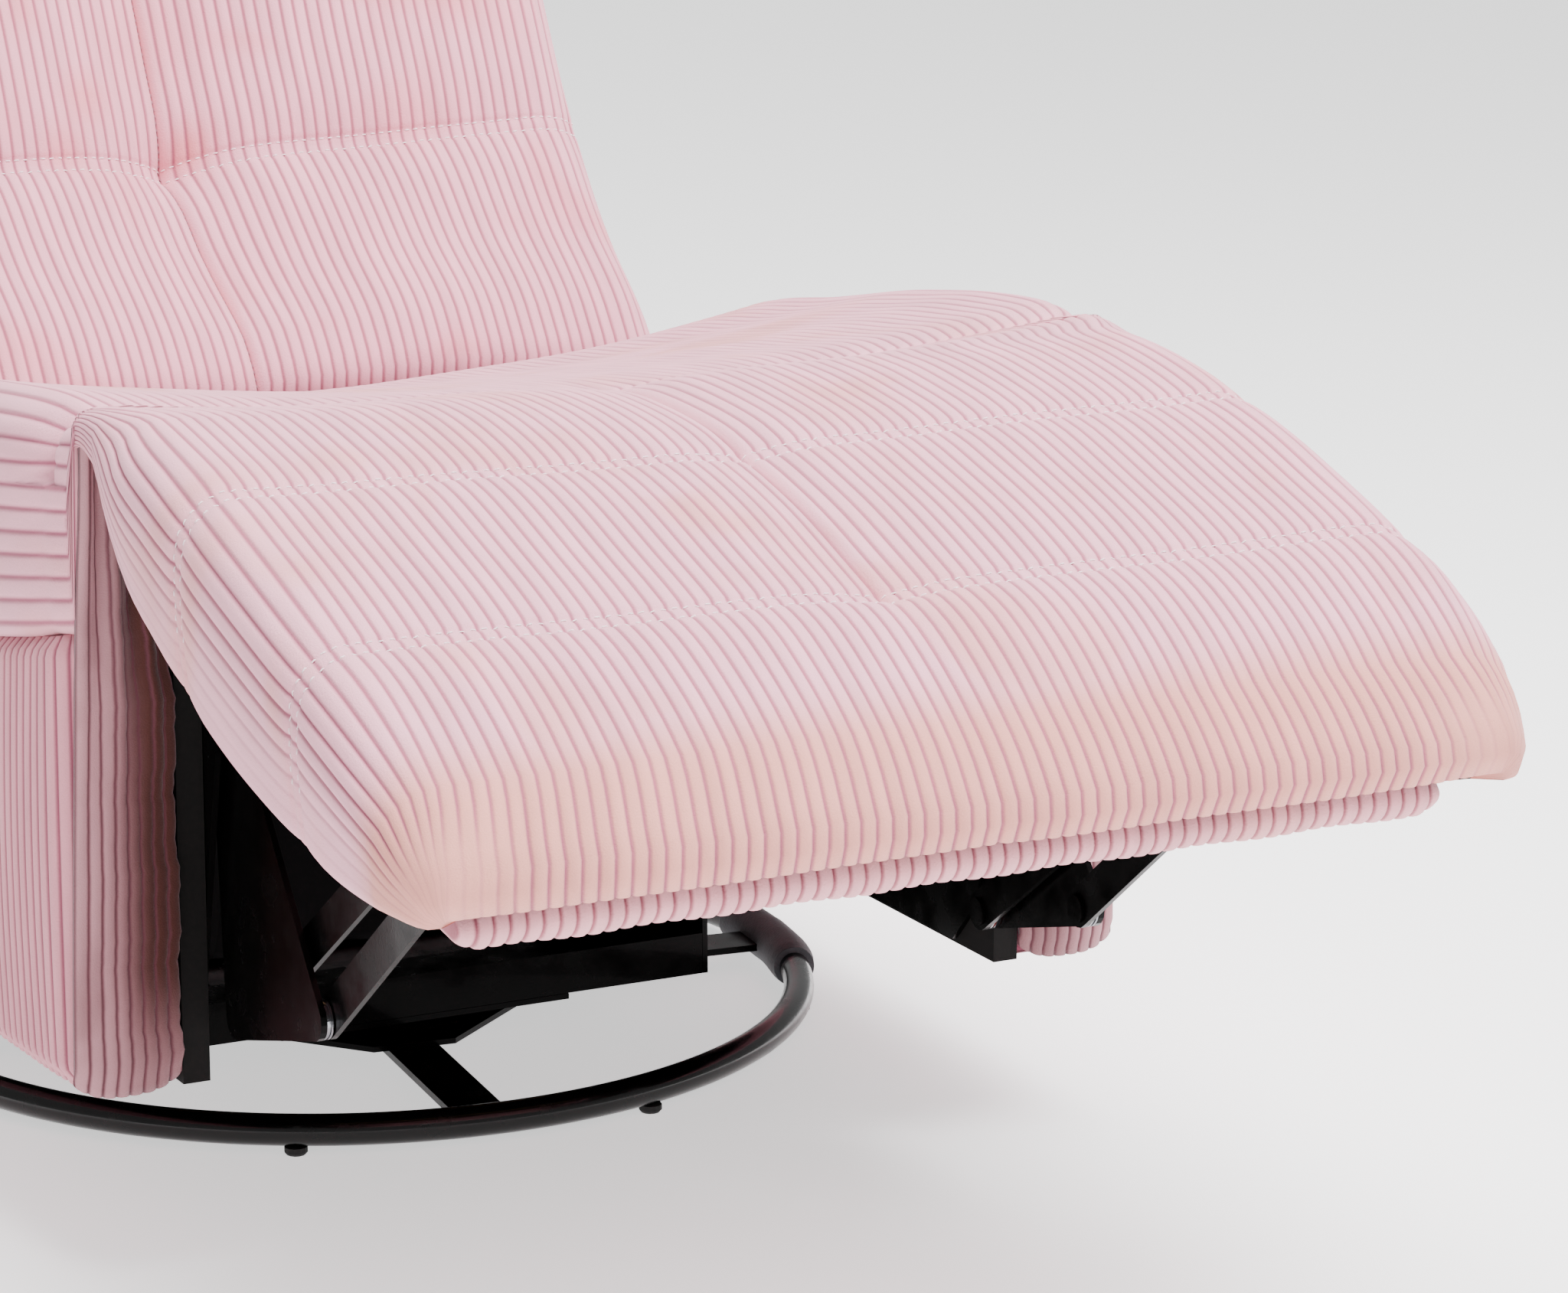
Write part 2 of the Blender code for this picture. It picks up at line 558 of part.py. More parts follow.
PIVOT_SPLIT = 0.006
seat_stations = (SEAT_REAR, 0.0, -0.12, -0.24, -0.34, -0.42, SIDE_FRONT, -0.52, LEG_HINGE[0] + PIVOT_SPLIT)
sections = []
for y in seat_stations:
    narrow = LEGREST_WIDTH / 2 if y <= SIDE_FRONT else SEAT_WIDTH / 2
    half = narrow if y < -0.46 or y > -0.42 else (LEGREST_WIDTH + SEAT_WIDTH) / 4
    dish = 0.030 * min(1.0, max(0.0, (y + 0.60) / 0.30))
    low = deck(y) + 0.001 if y > SIDE_FRONT else deck(y)
    sections.append(slab_section(y, half, low, crown(y), dish))
add("seat_cushion", sweep(sections, "seat_cushion"), corduroy, "seat", smooth=True)


def leg_floor(y):
    """Underside of the legrest pad."""
    return deck(LEG_HINGE[0]) - LEGREST_FALL * (LEG_HINGE[0] - y)


reach = LEG_HINGE[0] - PIVOT_SPLIT
nose = LEGREST_END - reach
sections = []
for share, lift, drop in ((0.0, 0.0, 0.0), (0.25, 0.0, 0.0), (0.50, 0.0, 0.0), (0.72, 0.0, 0.0),
                          (0.86, 0.012, 0.0), (0.97, 0.028, 0.001), (1.0, 0.048, 0.006)):
    y = reach + nose * share
    half = LEGREST_WIDTH / 2 - (0.0 if share < 0.95 else 0.006)
    sections.append(slab_section(y, half, leg_floor(y) + drop, crown(y) - lift, 0.004, 0.03))
add("legrest_pad", sweep(sections, "legrest_pad"), corduroy, "legrest", smooth=True)

BOARD_FIRST = LEG_HINGE[0] - 0.045
BOARD_LAST = LEGREST_END + 0.040
board_corners = ((BOARD_FIRST, 0), (BOARD_LAST, 0), (BOARD_LAST, LEGREST_BOARD), (BOARD_FIRST, LEGREST_BOARD))
outline = [(y, leg_floor(y) - GAP - drop) for y, drop in board_corners]
add("legrest_board", plate(outline, [], -FLAP_WIDTH / 2, FLAP_WIDTH / 2), corduroy, "legrest")


# Legrest linkage: brackets on the board, a crank pair on a torque tube, and two pairs of straps
def ahead(start, length, rise):
    return (start[0] - length * math.cos(rise), start[1] + length * math.sin(rise))


REAR_END = ahead(REAR_STRAP, REAR_STRAP_LENGTH, REAR_STRAP_RISE)
FRONT_END = ahead(FRONT_STRAP, FRONT_STRAP_LENGTH, FRONT_STRAP_RISE)
TAB_DROP = LEGREST_BOARD + 0.003
TAB_FIRST, TAB_LAST = LEG_HINGE[0] - 0.085, LEG_HINGE[0] - 0.21
FLANGE = 0.020
for label, side in SIDES:
    tab = [(y, leg_floor(y) - TAB_DROP) for y in (TAB_FIRST, TAB_LAST)]
    rim = [p for centre in (LEG_HINGE, REAR_END, FRONT_END) for p in circle(centre, LINK_RADIUS * 0.9)]
    bracket = add(f"legrest_bracket_{label}", plate(hull(rim + tab), [(*LEG_HINGE, HOLE)],
                                                    *span(side, BRACKET_X, BRACKET_X + PLATE)),
                  black_steel, "legrest")
    flange = [(y, leg_floor(y) - LEGREST_BOARD - 2 * GAP - drop)
              for y, drop in ((TAB_FIRST, 0), (TAB_LAST, 0), (TAB_LAST, PLATE), (TAB_FIRST, PLATE))]
    tool(plate(flange, [], *span(side, BRACKET_X - FLANGE, BRACKET_X + PLATE)), bracket, "UNION")
    mesh = plate(link_outline(CRANK_PIVOT, REAR_STRAP, FRONT_STRAP), [(*CRANK_PIVOT, HOLE)],
                 *span(side, CRANK_X, CRANK_X + PLATE))
    crank = add(f"legrest_crank_{label}", mesh, black_steel, "crank")
    for centre in (REAR_STRAP, FRONT_STRAP):
        stud(crank, centre, side, CRANK_X, STRAP_X - GAP)
    for name, start, end in (("rear", REAR_STRAP, REAR_END), ("front", FRONT_STRAP, FRONT_END)):
        mesh = plate(link_outline(start, end), [(*start, HOLE), (*end, HOLE)],
                     *span(side, STRAP_X, STRAP_X + PLATE))
        add(f"{name}_strap_{label}", mesh, black_steel, f"{name}_straps")

TUBE_CENTRE = (CRANK_PIVOT[0] + 0.002, CRANK_PIVOT[1] - 0.045)
add("torque_tube", rod(TUBE_CENTRE, -CRANK_X + GAP, CRANK_X - GAP, 0.009), black_steel, "crank", smooth=True)


# Back: timber frame between a padded face and a rear shell, leaning on two hinge posts
def lean(s):
    t = min(1.0, max(0.0, s / LUMBAR))
    return LEAN_LOW + (LEAN_HIGH - LEAN_LOW) * t * t * (3 - 2 * t)


def back_point(s, depth, steps=40):
    """Point at arc length s up the padded face, and depth behind it; (y, z)."""
    y, z = BACK_FOOT_Y, crown(BACK_FOOT_Y) + 0.001
    for k in range(steps):
        angle = lean(s * (k + 0.5) / steps)
        y += math.sin(angle) * s / steps
        z += math.cos(angle) * s / steps
    angle = lean(s)
    return (y + math.cos(angle) * depth, z - math.sin(angle) * depth)


def back_strip(first, last, near, far, steps=12):
    stations = [first + (last - first) * k / steps for k in range(steps + 1)]
    return [back_point(s, near) for s in stations] + [back_point(s, far) for s in reversed(stations)]


def back_piece(name, first, last, near, far, low_x, high_x, finish, steps=12, bevel=0.0):
    piece = add(name, plate(back_strip(first, last, near, far, steps), [], low_x, high_x), finish, "back")
    if bevel:
        soften = piece.modifiers.new("Bevel", "BEVEL")
        soften.width = bevel
        soften.segments = 3
        soften.limit_method = "ANGLE"
        soften.angle_limit = math.radians(50)
    return piece


half = BACK_WIDTH / 2
CUSHION_FACETS = 8            # along the padded face
CUSHION_EDGE = 0.025          # rounding of the padding's edges
back_piece("back_cushion", 0.0, BACK_LENGTH, 0.0, BACK_PAD, -half, half, corduroy,
           steps=CUSHION_FACETS, bevel=CUSHION_EDGE)
FACET_GAP = 0.0015            # between curved layers whose facets differ
frame_near = BACK_PAD + FACET_GAP
frame_far = frame_near + BACK_FRAME
POST_INNER, POST_OUTER = MECH_X - 0.058, MECH_X - 0.018
HINGE_EYE = 0.020             # round end of a post and its bracket about the recline pivot
for label, side in SIDES:
    low_x, high_x = span(side, POST_INNER, POST_OUTER)
    strip = back_strip(-0.03, BACK_LENGTH - 0.03, frame_near, frame_far)
    foot = [(RECLINE_PIVOT[0] + HINGE_EYE * math.cos(a), RECLINE_PIVOT[1] + HINGE_EYE * math.sin(a))
            for a in (math.radians(d) for d in (0, 330, 300, 270, 240, 210, 180, 150, 120))]
    add(f"back_post_{label}", plate(strip + foot, [(*RECLINE_PIVOT, HOLE)], low_x, high_x), timber, "back")
back_piece("back_top_rail", BACK_LENGTH - 0.09, BACK_LENGTH - 0.04, frame_near, frame_far, -POST_INNER + GAP,
           POST_INNER - GAP, timber, steps=3)
shell = back_piece("back_shell", 0.0, BACK_LENGTH, BACK_PAD + FACET_GAP, frame_far + FACET_GAP + BACK_SHELL,
                   -half, half, corduroy, bevel=0.008)
hollow = plate(back_strip(-0.05, BACK_LENGTH - BACK_SHELL, BACK_PAD - 0.02, frame_far + FACET_GAP), [],
               -half + BACK_SHELL, half - BACK_SHELL)
tool(hollow, shell, "DIFFERENCE")

for label, side in SIDES:
    root_y = REAR_RAIL_Y + RAIL_DEPTH + 0.001
    rim = circle(RECLINE_PIVOT, HINGE_EYE) + [(root_y, deck(root_y) - 0.020), (root_y, deck(root_y) - 0.090)]
    mesh = plate(hull(rim), [], *span(side, POST_OUTER + 0.002, MECH_X - GAP))
    bracket = add(f"recline_bracket_{label}", mesh, black_steel, "seat")
    tool(rod(RECLINE_PIVOT, *span(side, POST_INNER - 0.003, POST_OUTER + 0.006), STUD), bracket, "UNION")

# Shift the origin to the floor below the middle of the box
bpy.context.view_layer.update()
shaped = bpy.context.evaluated_depsgraph_get()
solids = [item for item in bpy.data.objects if item.type == "MESH" and not item.hide_render]
pieces = [item.evaluated_get(shaped) for item in solids]
ends = [(piece.matrix_world @ Vector(corner)).y for piece in pieces for corner in piece.bound_box]
bpy.data.objects["base"].location.y = -(min(ends) + max(ends)) / 2
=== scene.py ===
"""Looks of a swivel glider recliner with a chaise legrest, built round its CAD frame.

Metres, +Z up, the seat faces -Y. Sizes along Y are measured from the swivel axis, and AXIS_Y moves
them into the frame. Left is -X, as seen from the front.
"""
import json
import math

import bmesh
import bpy
import numpy as np
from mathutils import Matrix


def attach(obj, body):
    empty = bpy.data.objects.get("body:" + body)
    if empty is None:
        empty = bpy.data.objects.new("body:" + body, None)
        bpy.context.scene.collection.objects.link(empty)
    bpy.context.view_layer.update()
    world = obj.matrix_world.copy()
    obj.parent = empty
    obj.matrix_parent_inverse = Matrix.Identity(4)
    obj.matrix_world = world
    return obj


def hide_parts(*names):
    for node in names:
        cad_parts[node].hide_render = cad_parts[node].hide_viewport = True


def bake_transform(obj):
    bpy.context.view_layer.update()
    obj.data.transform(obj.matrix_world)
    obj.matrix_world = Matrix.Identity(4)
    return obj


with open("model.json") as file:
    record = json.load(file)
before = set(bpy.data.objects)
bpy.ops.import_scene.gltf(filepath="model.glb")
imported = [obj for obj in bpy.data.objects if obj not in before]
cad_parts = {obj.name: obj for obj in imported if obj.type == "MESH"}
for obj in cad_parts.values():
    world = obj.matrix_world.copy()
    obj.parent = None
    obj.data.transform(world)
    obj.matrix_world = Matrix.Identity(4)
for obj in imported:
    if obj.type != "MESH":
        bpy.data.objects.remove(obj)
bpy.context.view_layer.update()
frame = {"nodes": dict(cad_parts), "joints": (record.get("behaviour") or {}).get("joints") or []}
nodes = frame["nodes"]
AXIS_Y = next(j["pos_m"][1] for j in frame["joints"] if j["name"] == "swivel_turn")

# ---------------------------------------------------------------------------------------------
# Floor ring, its arms and the swivel: bent steel tube and flat bar, welded, then dipped in black
# enamel. The ring stands on small rubber studs. Every steel plate of the chair has this finish.


def linear(code):
    """sRGB hex code to linear RGB, by the sRGB curve, with an alpha of 1."""
    value = np.array([int(code[i:i + 2], 16) for i in (0, 2, 4)]) / 255
    value = np.where(value <= 0.04045, value / 12.92, ((value + 0.055) / 1.055) ** 2.4)
    return (*value.tolist(), 1.0)


def add_node(finish, kind, values=(), links=(), **settings):
    """Adds a node: settings are its properties, values its sockets' numbers, links what feeds them."""
    made = finish.node_tree.nodes.new(kind)
    for key, value in settings.items():
        setattr(made, key, value)
    for key, value in dict(values).items():
        made.inputs[key].default_value = value
    for key, source in dict(links).items():
        finish.node_tree.links.new(source, made.inputs[key])
    return made


def new_finish(name, colour, roughness, **sockets):
    """A material with one Principled shader; sockets are further socket values, with _ for a space."""
    finish = bpy.data.materials.new(name)
    finish.use_nodes = True
    shader = finish.node_tree.nodes["Principled BSDF"]
    shader.inputs["Base Color"].default_value = linear(colour)
    shader.inputs["Roughness"].default_value = roughness
    for key, value in sockets.items():
        shader.inputs[key.replace("_", " ")].default_value = value
    return finish, shader


def paint(finish, *names):
    """Gives CAD nodes a finish in all their material slots."""
    for name in names:
        for place in nodes[name].material_slots:
            place.material = finish


def steel_enamel(name, shine, coat):
    """Baked black enamel on steel: faint orange peel and a little dust. shine is its specular level and
    coat the weight of the clear coat over it."""
    finish, shader = new_finish(name, "040405", 0.20, Specular_IOR_Level=shine, Coat_Weight=coat,
                                Coat_Roughness=0.05)
    place = add_node(finish, "ShaderNodeTexCoord").outputs["Object"]
    peel = add_node(finish, "ShaderNodeTexNoise", {"Scale": 420.0, "Detail": 2.0}, {"Vector": place})
    dust = add_node(finish, "ShaderNodeTexNoise", {"Scale": 38.0, "Detail": 5.0}, {"Vector": place})
    worn = add_node(finish, "ShaderNodeMapRange",
                    {"From Min": 0.35, "From Max": 0.75, "To Min": 0.16, "To Max": 0.34},
                    {"Value": dust.outputs["Fac"]})
    finish.node_tree.links.new(worn.outputs["Result"], shader.inputs["Roughness"])
    tint = add_node(finish, "ShaderNodeMix", {"A": linear("020202"), "B": linear("070606")},
                    {"Factor": dust.outputs["Fac"]}, data_type="RGBA")
    finish.node_tree.links.new(tint.outputs["Result"], shader.inputs["Base Color"])
    bump = add_node(finish, "ShaderNodeBump", {"Strength": 0.12, "Distance": 0.0004},
                    {"Height": peel.outputs["Fac"]})
    finish.node_tree.links.new(bump.outputs["Normal"], shader.inputs["Normal"])
    return finish


enamel = steel_enamel("baked_enamel", 0.07, 0.04)
ring_enamel = steel_enamel("ring_enamel", 0.22, 0.22)
paint(enamel, *[name for name, node in nodes.items() if node.material_slots
                and node.material_slots[0].material.name.startswith("black_steel")])

RING_RADIUS, RING_TUBE, RING_Z = 0.330, 0.011, 0.017
RING_STEPS, TUBE_SIDES = 220, 28


def settle(mesh, body=None, smooth=True, merge=False):
    """Piece made of a closed mesh: its doubles are merged if merge is true, its faces are turned outwards
    and shaded smooth or flat, and it rides on body if there is one."""
    bm = bmesh.new()
    bm.from_mesh(mesh)
    if merge:
        bmesh.ops.remove_doubles(bm, verts=bm.verts, dist=2e-5)
        bmesh.ops.dissolve_degenerate(bm, edges=bm.edges, dist=1e-6)
    bmesh.ops.recalc_face_normals(bm, faces=bm.faces)
    bm.to_mesh(mesh)
    bm.free()
    mesh.polygons.foreach_set("use_smooth", np.full(len(mesh.polygons), smooth))
    piece = bpy.data.objects.new(mesh.name, mesh)
    bpy.context.scene.collection.objects.link(piece)
    if body:
        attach(piece, body)
    return piece


def band(name, loops, finish, body, closed=True, smooth=True):
    """Surface through loops, an array of (loops, points round each, 3) in the frame: two neighbours on a
    loop are joined to the same two on the next. A closed band runs on from its last loop to its first,
    and any other has a cap at each end."""
    rows, sides = loops.shape[:2]
    index = np.arange(rows * sides).reshape(rows, sides)
    start, ahead = (index, np.roll(index, -1, axis=0)) if closed else (index[:-1], index[1:])
    quads = np.stack([start, ahead, np.roll(ahead, -1, axis=1), np.roll(start, -1, axis=1)], -1)
    caps = [] if closed else [index[0].tolist(), index[-1, ::-1].tolist()]
    mesh = bpy.data.meshes.new(name)
    mesh.from_pydata(loops.reshape(-1, 3).tolist(), [], quads.reshape(-1, 4).tolist() + caps)
    mesh.materials.append(finish)
    return settle(mesh, body, smooth)


def tube_on_ring(name, first, last, radii, finish, replaced, steps):
    """Tube round the ring's line from angle first to last: at each step a circle whose radius is read
    from radii along the way. Over a full turn it closes on itself, otherwise it has flat ends."""
    whole = last - first > 2 * math.pi - 1e-6
    turn = np.linspace(first, last, steps, endpoint=not whole)[:, None]
    radius = np.interp(np.linspace(0, 1, steps), np.linspace(0, 1, len(radii)), radii)[:, None]
    angle = (np.arange(TUBE_SIDES) * 2 * math.pi / TUBE_SIDES)[None]
    reach = RING_RADIUS + radius * np.cos(angle)
    circles = np.stack([reach * np.cos(turn), reach * np.sin(turn) + AXIS_Y,
                        RING_Z + radius * np.sin(angle)], -1)
    piece = band(name, circles, finish, "base", whole)
    round_faces = np.array([len(face.vertices) == 4 for face in piece.data.polygons])
    piece.data.polygons.foreach_set("use_smooth", round_faces)
    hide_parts(replaced)
    return piece


floor_ring = tube_on_ring("floor_ring", 0.0, 2 * math.pi, [RING_TUBE], ring_enamel, "base_ring", RING_STEPS)


def moulded(name, colour, roughness, scale, strength, distance):
    """Moulded black plastic or rubber: one colour, with the fine grain of its mould as bump, in noise of
    the given scale."""
    finish, shader = new_finish(name, colour, roughness)
    grain = add_node(finish, "ShaderNodeTexNoise", {"Scale": scale, "Detail": 3.0},
                     {"Vector": add_node(finish, "ShaderNodeTexCoord").outputs["Object"]})
    bump = add_node(finish, "ShaderNodeBump", {"Strength": strength, "Distance": distance},
                    {"Height": grain.outputs["Fac"]})
    finish.node_tree.links.new(bump.outputs["Normal"], shader.inputs["Normal"])
    return finish


# Moulded rubber: dull black with a fine grain.
rubber = moulded("moulded_rubber", "141414", 0.75, 900.0, 0.35, 0.0004)
paint(rubber, *[name for name in nodes if name.startswith("ring_foot")])

# ---------------------------------------------------------------------------------------------
# Foam sleeve over the ring: a slit length of closed-cell foam that keeps the ring from knocking
# the floor as the chair turns. Its skin is matt, slightly crazed and greyed at the ends.
foam, foam_shader = new_finish("closed_cell_foam", "2B2C2F", 0.82, Sheen_Weight=0.15)
foam_place = add_node(foam, "ShaderNodeTexCoord").outputs["Object"]
cells = add_node(foam, "ShaderNodeTexVoronoi", {"Scale": 520.0}, {"Vector": foam_place})
greyed = add_node(foam, "ShaderNodeTexNoise", {"Scale": 30.0, "Detail": 4.0}, {"Vector": foam_place})
foam_tint = add_node(foam, "ShaderNodeMix", {"A": linear("1E1F22"), "B": linear("56575C")},
                     {"Factor": greyed.outputs["Fac"]}, data_type="RGBA")
foam.node_tree.links.new(foam_tint.outputs["Result"], foam_shader.inputs["Base Color"])
foam_bump = add_node(foam, "ShaderNodeBump", {"Strength": 0.4, "Distance": 0.0005},
                     {"Height": cells.outputs["Distance"]})
foam.node_tree.links.new(foam_bump.outputs["Normal"], foam_shader.inputs["Normal"])
SLEEVE_FROM, SLEEVE_TO = math.radians(-19), math.radians(4)
SLEEVE_RADII = (0.0148, 0.0164, 0.0168, 0.0167, 0.0164, 0.0162, 0.0163, 0.0165, 0.0162, 0.0164, 0.0167,
                0.0163, 0.0147)
SLEEVE_STEPS = 60
sleeve = tube_on_ring("foam_sleeve", SLEEVE_FROM, SLEEVE_TO, SLEEVE_RADII, foam, "ring_sleeve", SLEEVE_STEPS)

# ---------------------------------------------------------------------------------------------
# Seat box: two black-faced plywood sides, sawn softwood rails and sinuous wire springs, with the
# rolled edges of the plywood left bare at the front.
board, board_shader = new_finish("black_faced_plywood", "070606", 0.8, Specular_IOR_Level=0.2)
board_place = add_node(board, "ShaderNodeTexCoord").outputs["Object"]
along = add_node(board, "ShaderNodeMapping", {"Scale": (1.0, 0.08, 1.0)}, {"Vector": board_place})
fibres = add_node(board, "ShaderNodeTexNoise", {"Scale": 260.0, "Detail": 4.0},
                  {"Vector": along.outputs["Vector"]})
board_tint = add_node(board, "ShaderNodeMix", {"A": linear("040404"), "B": linear("110E0D")},
                      {"Factor": fibres.outputs["Fac"]}, data_type="RGBA")
board.node_tree.links.new(board_tint.outputs["Result"], board_shader.inputs["Base Color"])
board_bump = add_node(board, "ShaderNodeBump", {"Strength": 0.3, "Distance": 0.0005},
                      {"Height": fibres.outputs["Fac"]})
board.node_tree.links.new(board_bump.outputs["Normal"], board_shader.inputs["Normal"])
paint(board, "side_board_left", "side_board_right")

# Softwood with growth rings 4 mm apart, running along each rail.
timber, timber_shader = new_finish("sawn_softwood", "B08A5E", 0.68)
timber_place = add_node(timber, "ShaderNodeTexCoord").outputs["Object"]
rings = add_node(timber, "ShaderNodeTexWave",
                 {"Scale": 40.0, "Distortion": 3.0, "Detail": 3.0, "Detail Scale": 1.5},
                 {"Vector": timber_place}, wave_type="RINGS", rings_direction="X")
timber_tint = add_node(timber, "ShaderNodeMix", {"A": linear("8F6638"), "B": linear("C7A374")},
                       {"Factor": rings.outputs["Fac"]}, data_type="RGBA")
timber.node_tree.links.new(timber_tint.outputs["Result"], timber_shader.inputs["Base Color"])
paint(timber, "seat_front_rail", "seat_rear_rail", "back_post_left", "back_post_right", "back_top_rail")

# Oil-tempered spring wire and bearing steel: grey metal with a brown film of oil.
spring, spring_shader = new_finish("oiled_spring_steel", "6A6B6E", 0.38, Metallic=1.0)
oil = add_node(spring, "ShaderNodeTexNoise", {"Scale": 60.0, "Detail": 4.0},
               {"Vector": add_node(spring, "ShaderNodeTexCoord").outputs["Object"]})
spring_tint = add_node(spring, "ShaderNodeMix", {"A": linear("4A443E"), "B": linear("85878B")},
                       {"Factor": oil.outputs["Fac"]}, data_type="RGBA")
spring.node_tree.links.new(spring_tint.outputs["Result"], spring_shader.inputs["Base Color"])
paint(spring, "seat_spring_1", "seat_spring_2", "seat_spring_3", "swivel_race")

# ---------------------------------------------------------------------------------------------
# Upholstered sides: wide-wale corduroy over wadding, cut with the wales upright, drawn round the
# plywood and closed under it. The top edge is felled to the seat cover's side.
WALE = 0.010                     # from one groove of the corduroy to the next
WALE_HEIGHT = 0.0019
WALE_STEPS = np.array([0.0, 0.10, 0.28, 0.50, 0.72, 0.90])   # where one wale is sampled, 0 in the groove


def corduroy(name, crest, groove, warm, patch=0.5):
    """Brushed cotton corduroy: soft wide wales, darker in the grooves, where the pile lies in shade.

    The weave map holds metres across the wales and along them. crest, groove and warm are the
    colours of the wales, the grooves and the patches where the pile is brushed the other way, which
    noise places, and the attribute for laid pile and painted shade where a piece has it. The grooves'
    darkening is painted shade. On the facing strips warm is a dark brown that stands for painted shade too.
    """
    finish, shader = new_finish(name, crest, 0.88, Sheen_Weight=0.32, Sheen_Roughness=0.45,
                                Sheen_Tint=linear("F6E3E6"), Specular_IOR_Level=0.18)
    links = finish.node_tree.links
    weave = add_node(finish, "ShaderNodeUVMap", uv_map="weave").outputs["UV"]
    across = add_node(finish, "ShaderNodeSeparateXYZ", links={"Vector": weave}).outputs["X"]
    phase = add_node(finish, "ShaderNodeMath", {1: 1 / WALE}, {0: across}, operation="MULTIPLY").outputs[0]
    phase = add_node(finish, "ShaderNodeMath", links={0: phase}, operation="FRACT").outputs[0]
    side = add_node(finish, "ShaderNodeMath", {1: 0.5}, {0: phase}, operation="SUBTRACT").outputs[0]
    side = add_node(finish, "ShaderNodeMath", links={0: side}, operation="ABSOLUTE").outputs[0]
    # Painted shade in the grooves: each wale's colour is drawn toward the groove colour near its edges, and
    # less where the attribute plain is set.
    shade = add_node(finish, "ShaderNodeMapRange", {"From Min": 0.27, "From Max": 0.50, "To Max": 0.92},
                     {"Value": side}, interpolation_type="SMOOTHSTEP").outputs["Result"]
    plain = add_node(finish, "ShaderNodeAttribute", attribute_name="plain").outputs["Fac"]
    plain = add_node(finish, "ShaderNodeMath", {0: 1.0}, {1: plain}, operation="SUBTRACT").outputs[0]
    shade = add_node(finish, "ShaderNodeMath", links={0: shade, 1: plain}, operation="MULTIPLY").outputs[0]
    # Tufts of pile: the real ones are too fine to show, so these are drawn about 1.2 mm across.
    tufts = add_node(finish, "ShaderNodeTexNoise", {"Scale": 850.0, "Detail": 3.0, "Roughness": 0.65},
                     {"Vector": weave}).outputs["Fac"]
    drawn = add_node(finish, "ShaderNodeMapping", {"Scale": (1.0, 0.12, 1.0)},
                     {"Vector": weave}).outputs["Vector"]
    streaks = add_node(finish, "ShaderNodeTexNoise", {"Scale": 70.0, "Detail": 3.0},
                       {"Vector": drawn}).outputs["Fac"]
    brushed = add_node(finish, "ShaderNodeTexNoise", {"Scale": 7.0, "Detail": 2.5, "Distortion": 0.6},
                       {"Vector": weave}).outputs["Fac"]
    brushed = add_node(finish, "ShaderNodeMapRange", {"From Min": 0.50, "From Max": 0.72, "To Max": patch},
                       {"Value": brushed}, interpolation_type="SMOOTHSTEP").outputs["Result"]
    # The attribute read here adds to the noise patches: laid pile on the pad and back, and painted shade on
    # the facing strips.
    laid_pile_and_shade = add_node(finish, "ShaderNodeAttribute", attribute_name="laid_pile_and_shade").outputs["Fac"]
    brushed = add_node(finish, "ShaderNodeMath", links={0: brushed, 1: laid_pile_and_shade},
                       operation="MAXIMUM").outputs[0]
    ground = add_node(finish, "ShaderNodeMix", {"A": linear(crest), "B": linear(warm)}, {"Factor": brushed},
                      data_type="RGBA").outputs["Result"]
    ground = add_node(finish, "ShaderNodeMix", {"B": linear(groove)}, {"A": ground, "Factor": shade},
                      data_type="RGBA").outputs["Result"]
    level = add_node(finish, "ShaderNodeMath", {1: 0.5}, {0: tufts, 2: streaks},
                     operation="MULTIPLY_ADD").outputs[0]
    level = add_node(finish, "ShaderNodeMapRange",
                     {"From Min": 0.45, "From Max": 1.05, "To Min": 0.86, "To Max": 1.10},
                     {"Value": level}).outputs["Result"]
    toned = add_node(finish, "ShaderNodeHueSaturation", links={"Color": ground, "Value": level})
    links.new(toned.outputs["Color"], shader.inputs["Base Color"])
    bump = add_node(finish, "ShaderNodeBump", {"Strength": 0.55, "Distance": 0.0011}, {"Height": tufts})
    links.new(bump.outputs["Normal"], shader.inputs["Normal"])
    return finish


side_cloth = corduroy("side_corduroy", "D08C98", "8A4357", "C67F84")
cambric, cambric_shader = new_finish("black_cambric", "060506", 0.95, Specular_IOR_Level=0.1)
cambric_weave = add_node(cambric, "ShaderNodeTexNoise", {"Scale": 1100.0, "Detail": 2.0},
                         {"Vector": add_node(cambric, "ShaderNodeUVMap", uv_map="weave").outputs["UV"]})
cambric_bump = add_node(cambric, "ShaderNodeBump", {"Strength": 0.3, "Distance": 0.0003},
                        {"Height": cambric_weave.outputs["Fac"]})
cambric.node_tree.links.new(cambric_bump.outputs["Normal"], cambric_shader.inputs["Normal"])


def curve_at(knots, values, at):
    """Smooth curve through knots: between two of them, the Hermite cubic whose end slopes are the
    central differences there."""
    knots, values = np.asarray(knots, float), np.asarray(values, float)
    slope = np.gradient(values, knots)
    k = np.clip(np.searchsorted(knots, at) - 1, 0, len(knots) - 2)
    width = knots[k + 1] - knots[k]
    t = np.clip((at - knots[k]) / width, 0, 1)
    return ((2 * t ** 3 - 3 * t ** 2 + 1) * values[k] + (t ** 3 - 2 * t ** 2 + t) * width * slope[k]
            + (3 * t ** 2 - 2 * t ** 3) * values[k + 1] + (t ** 3 - t ** 2) * width * slope[k + 1])


def run_along(points):
    """Distance along a line of points from its first to each of them."""
    return np.concatenate([[0.0], np.cumsum(np.linalg.norm(np.diff(points, axis=0), axis=1))])


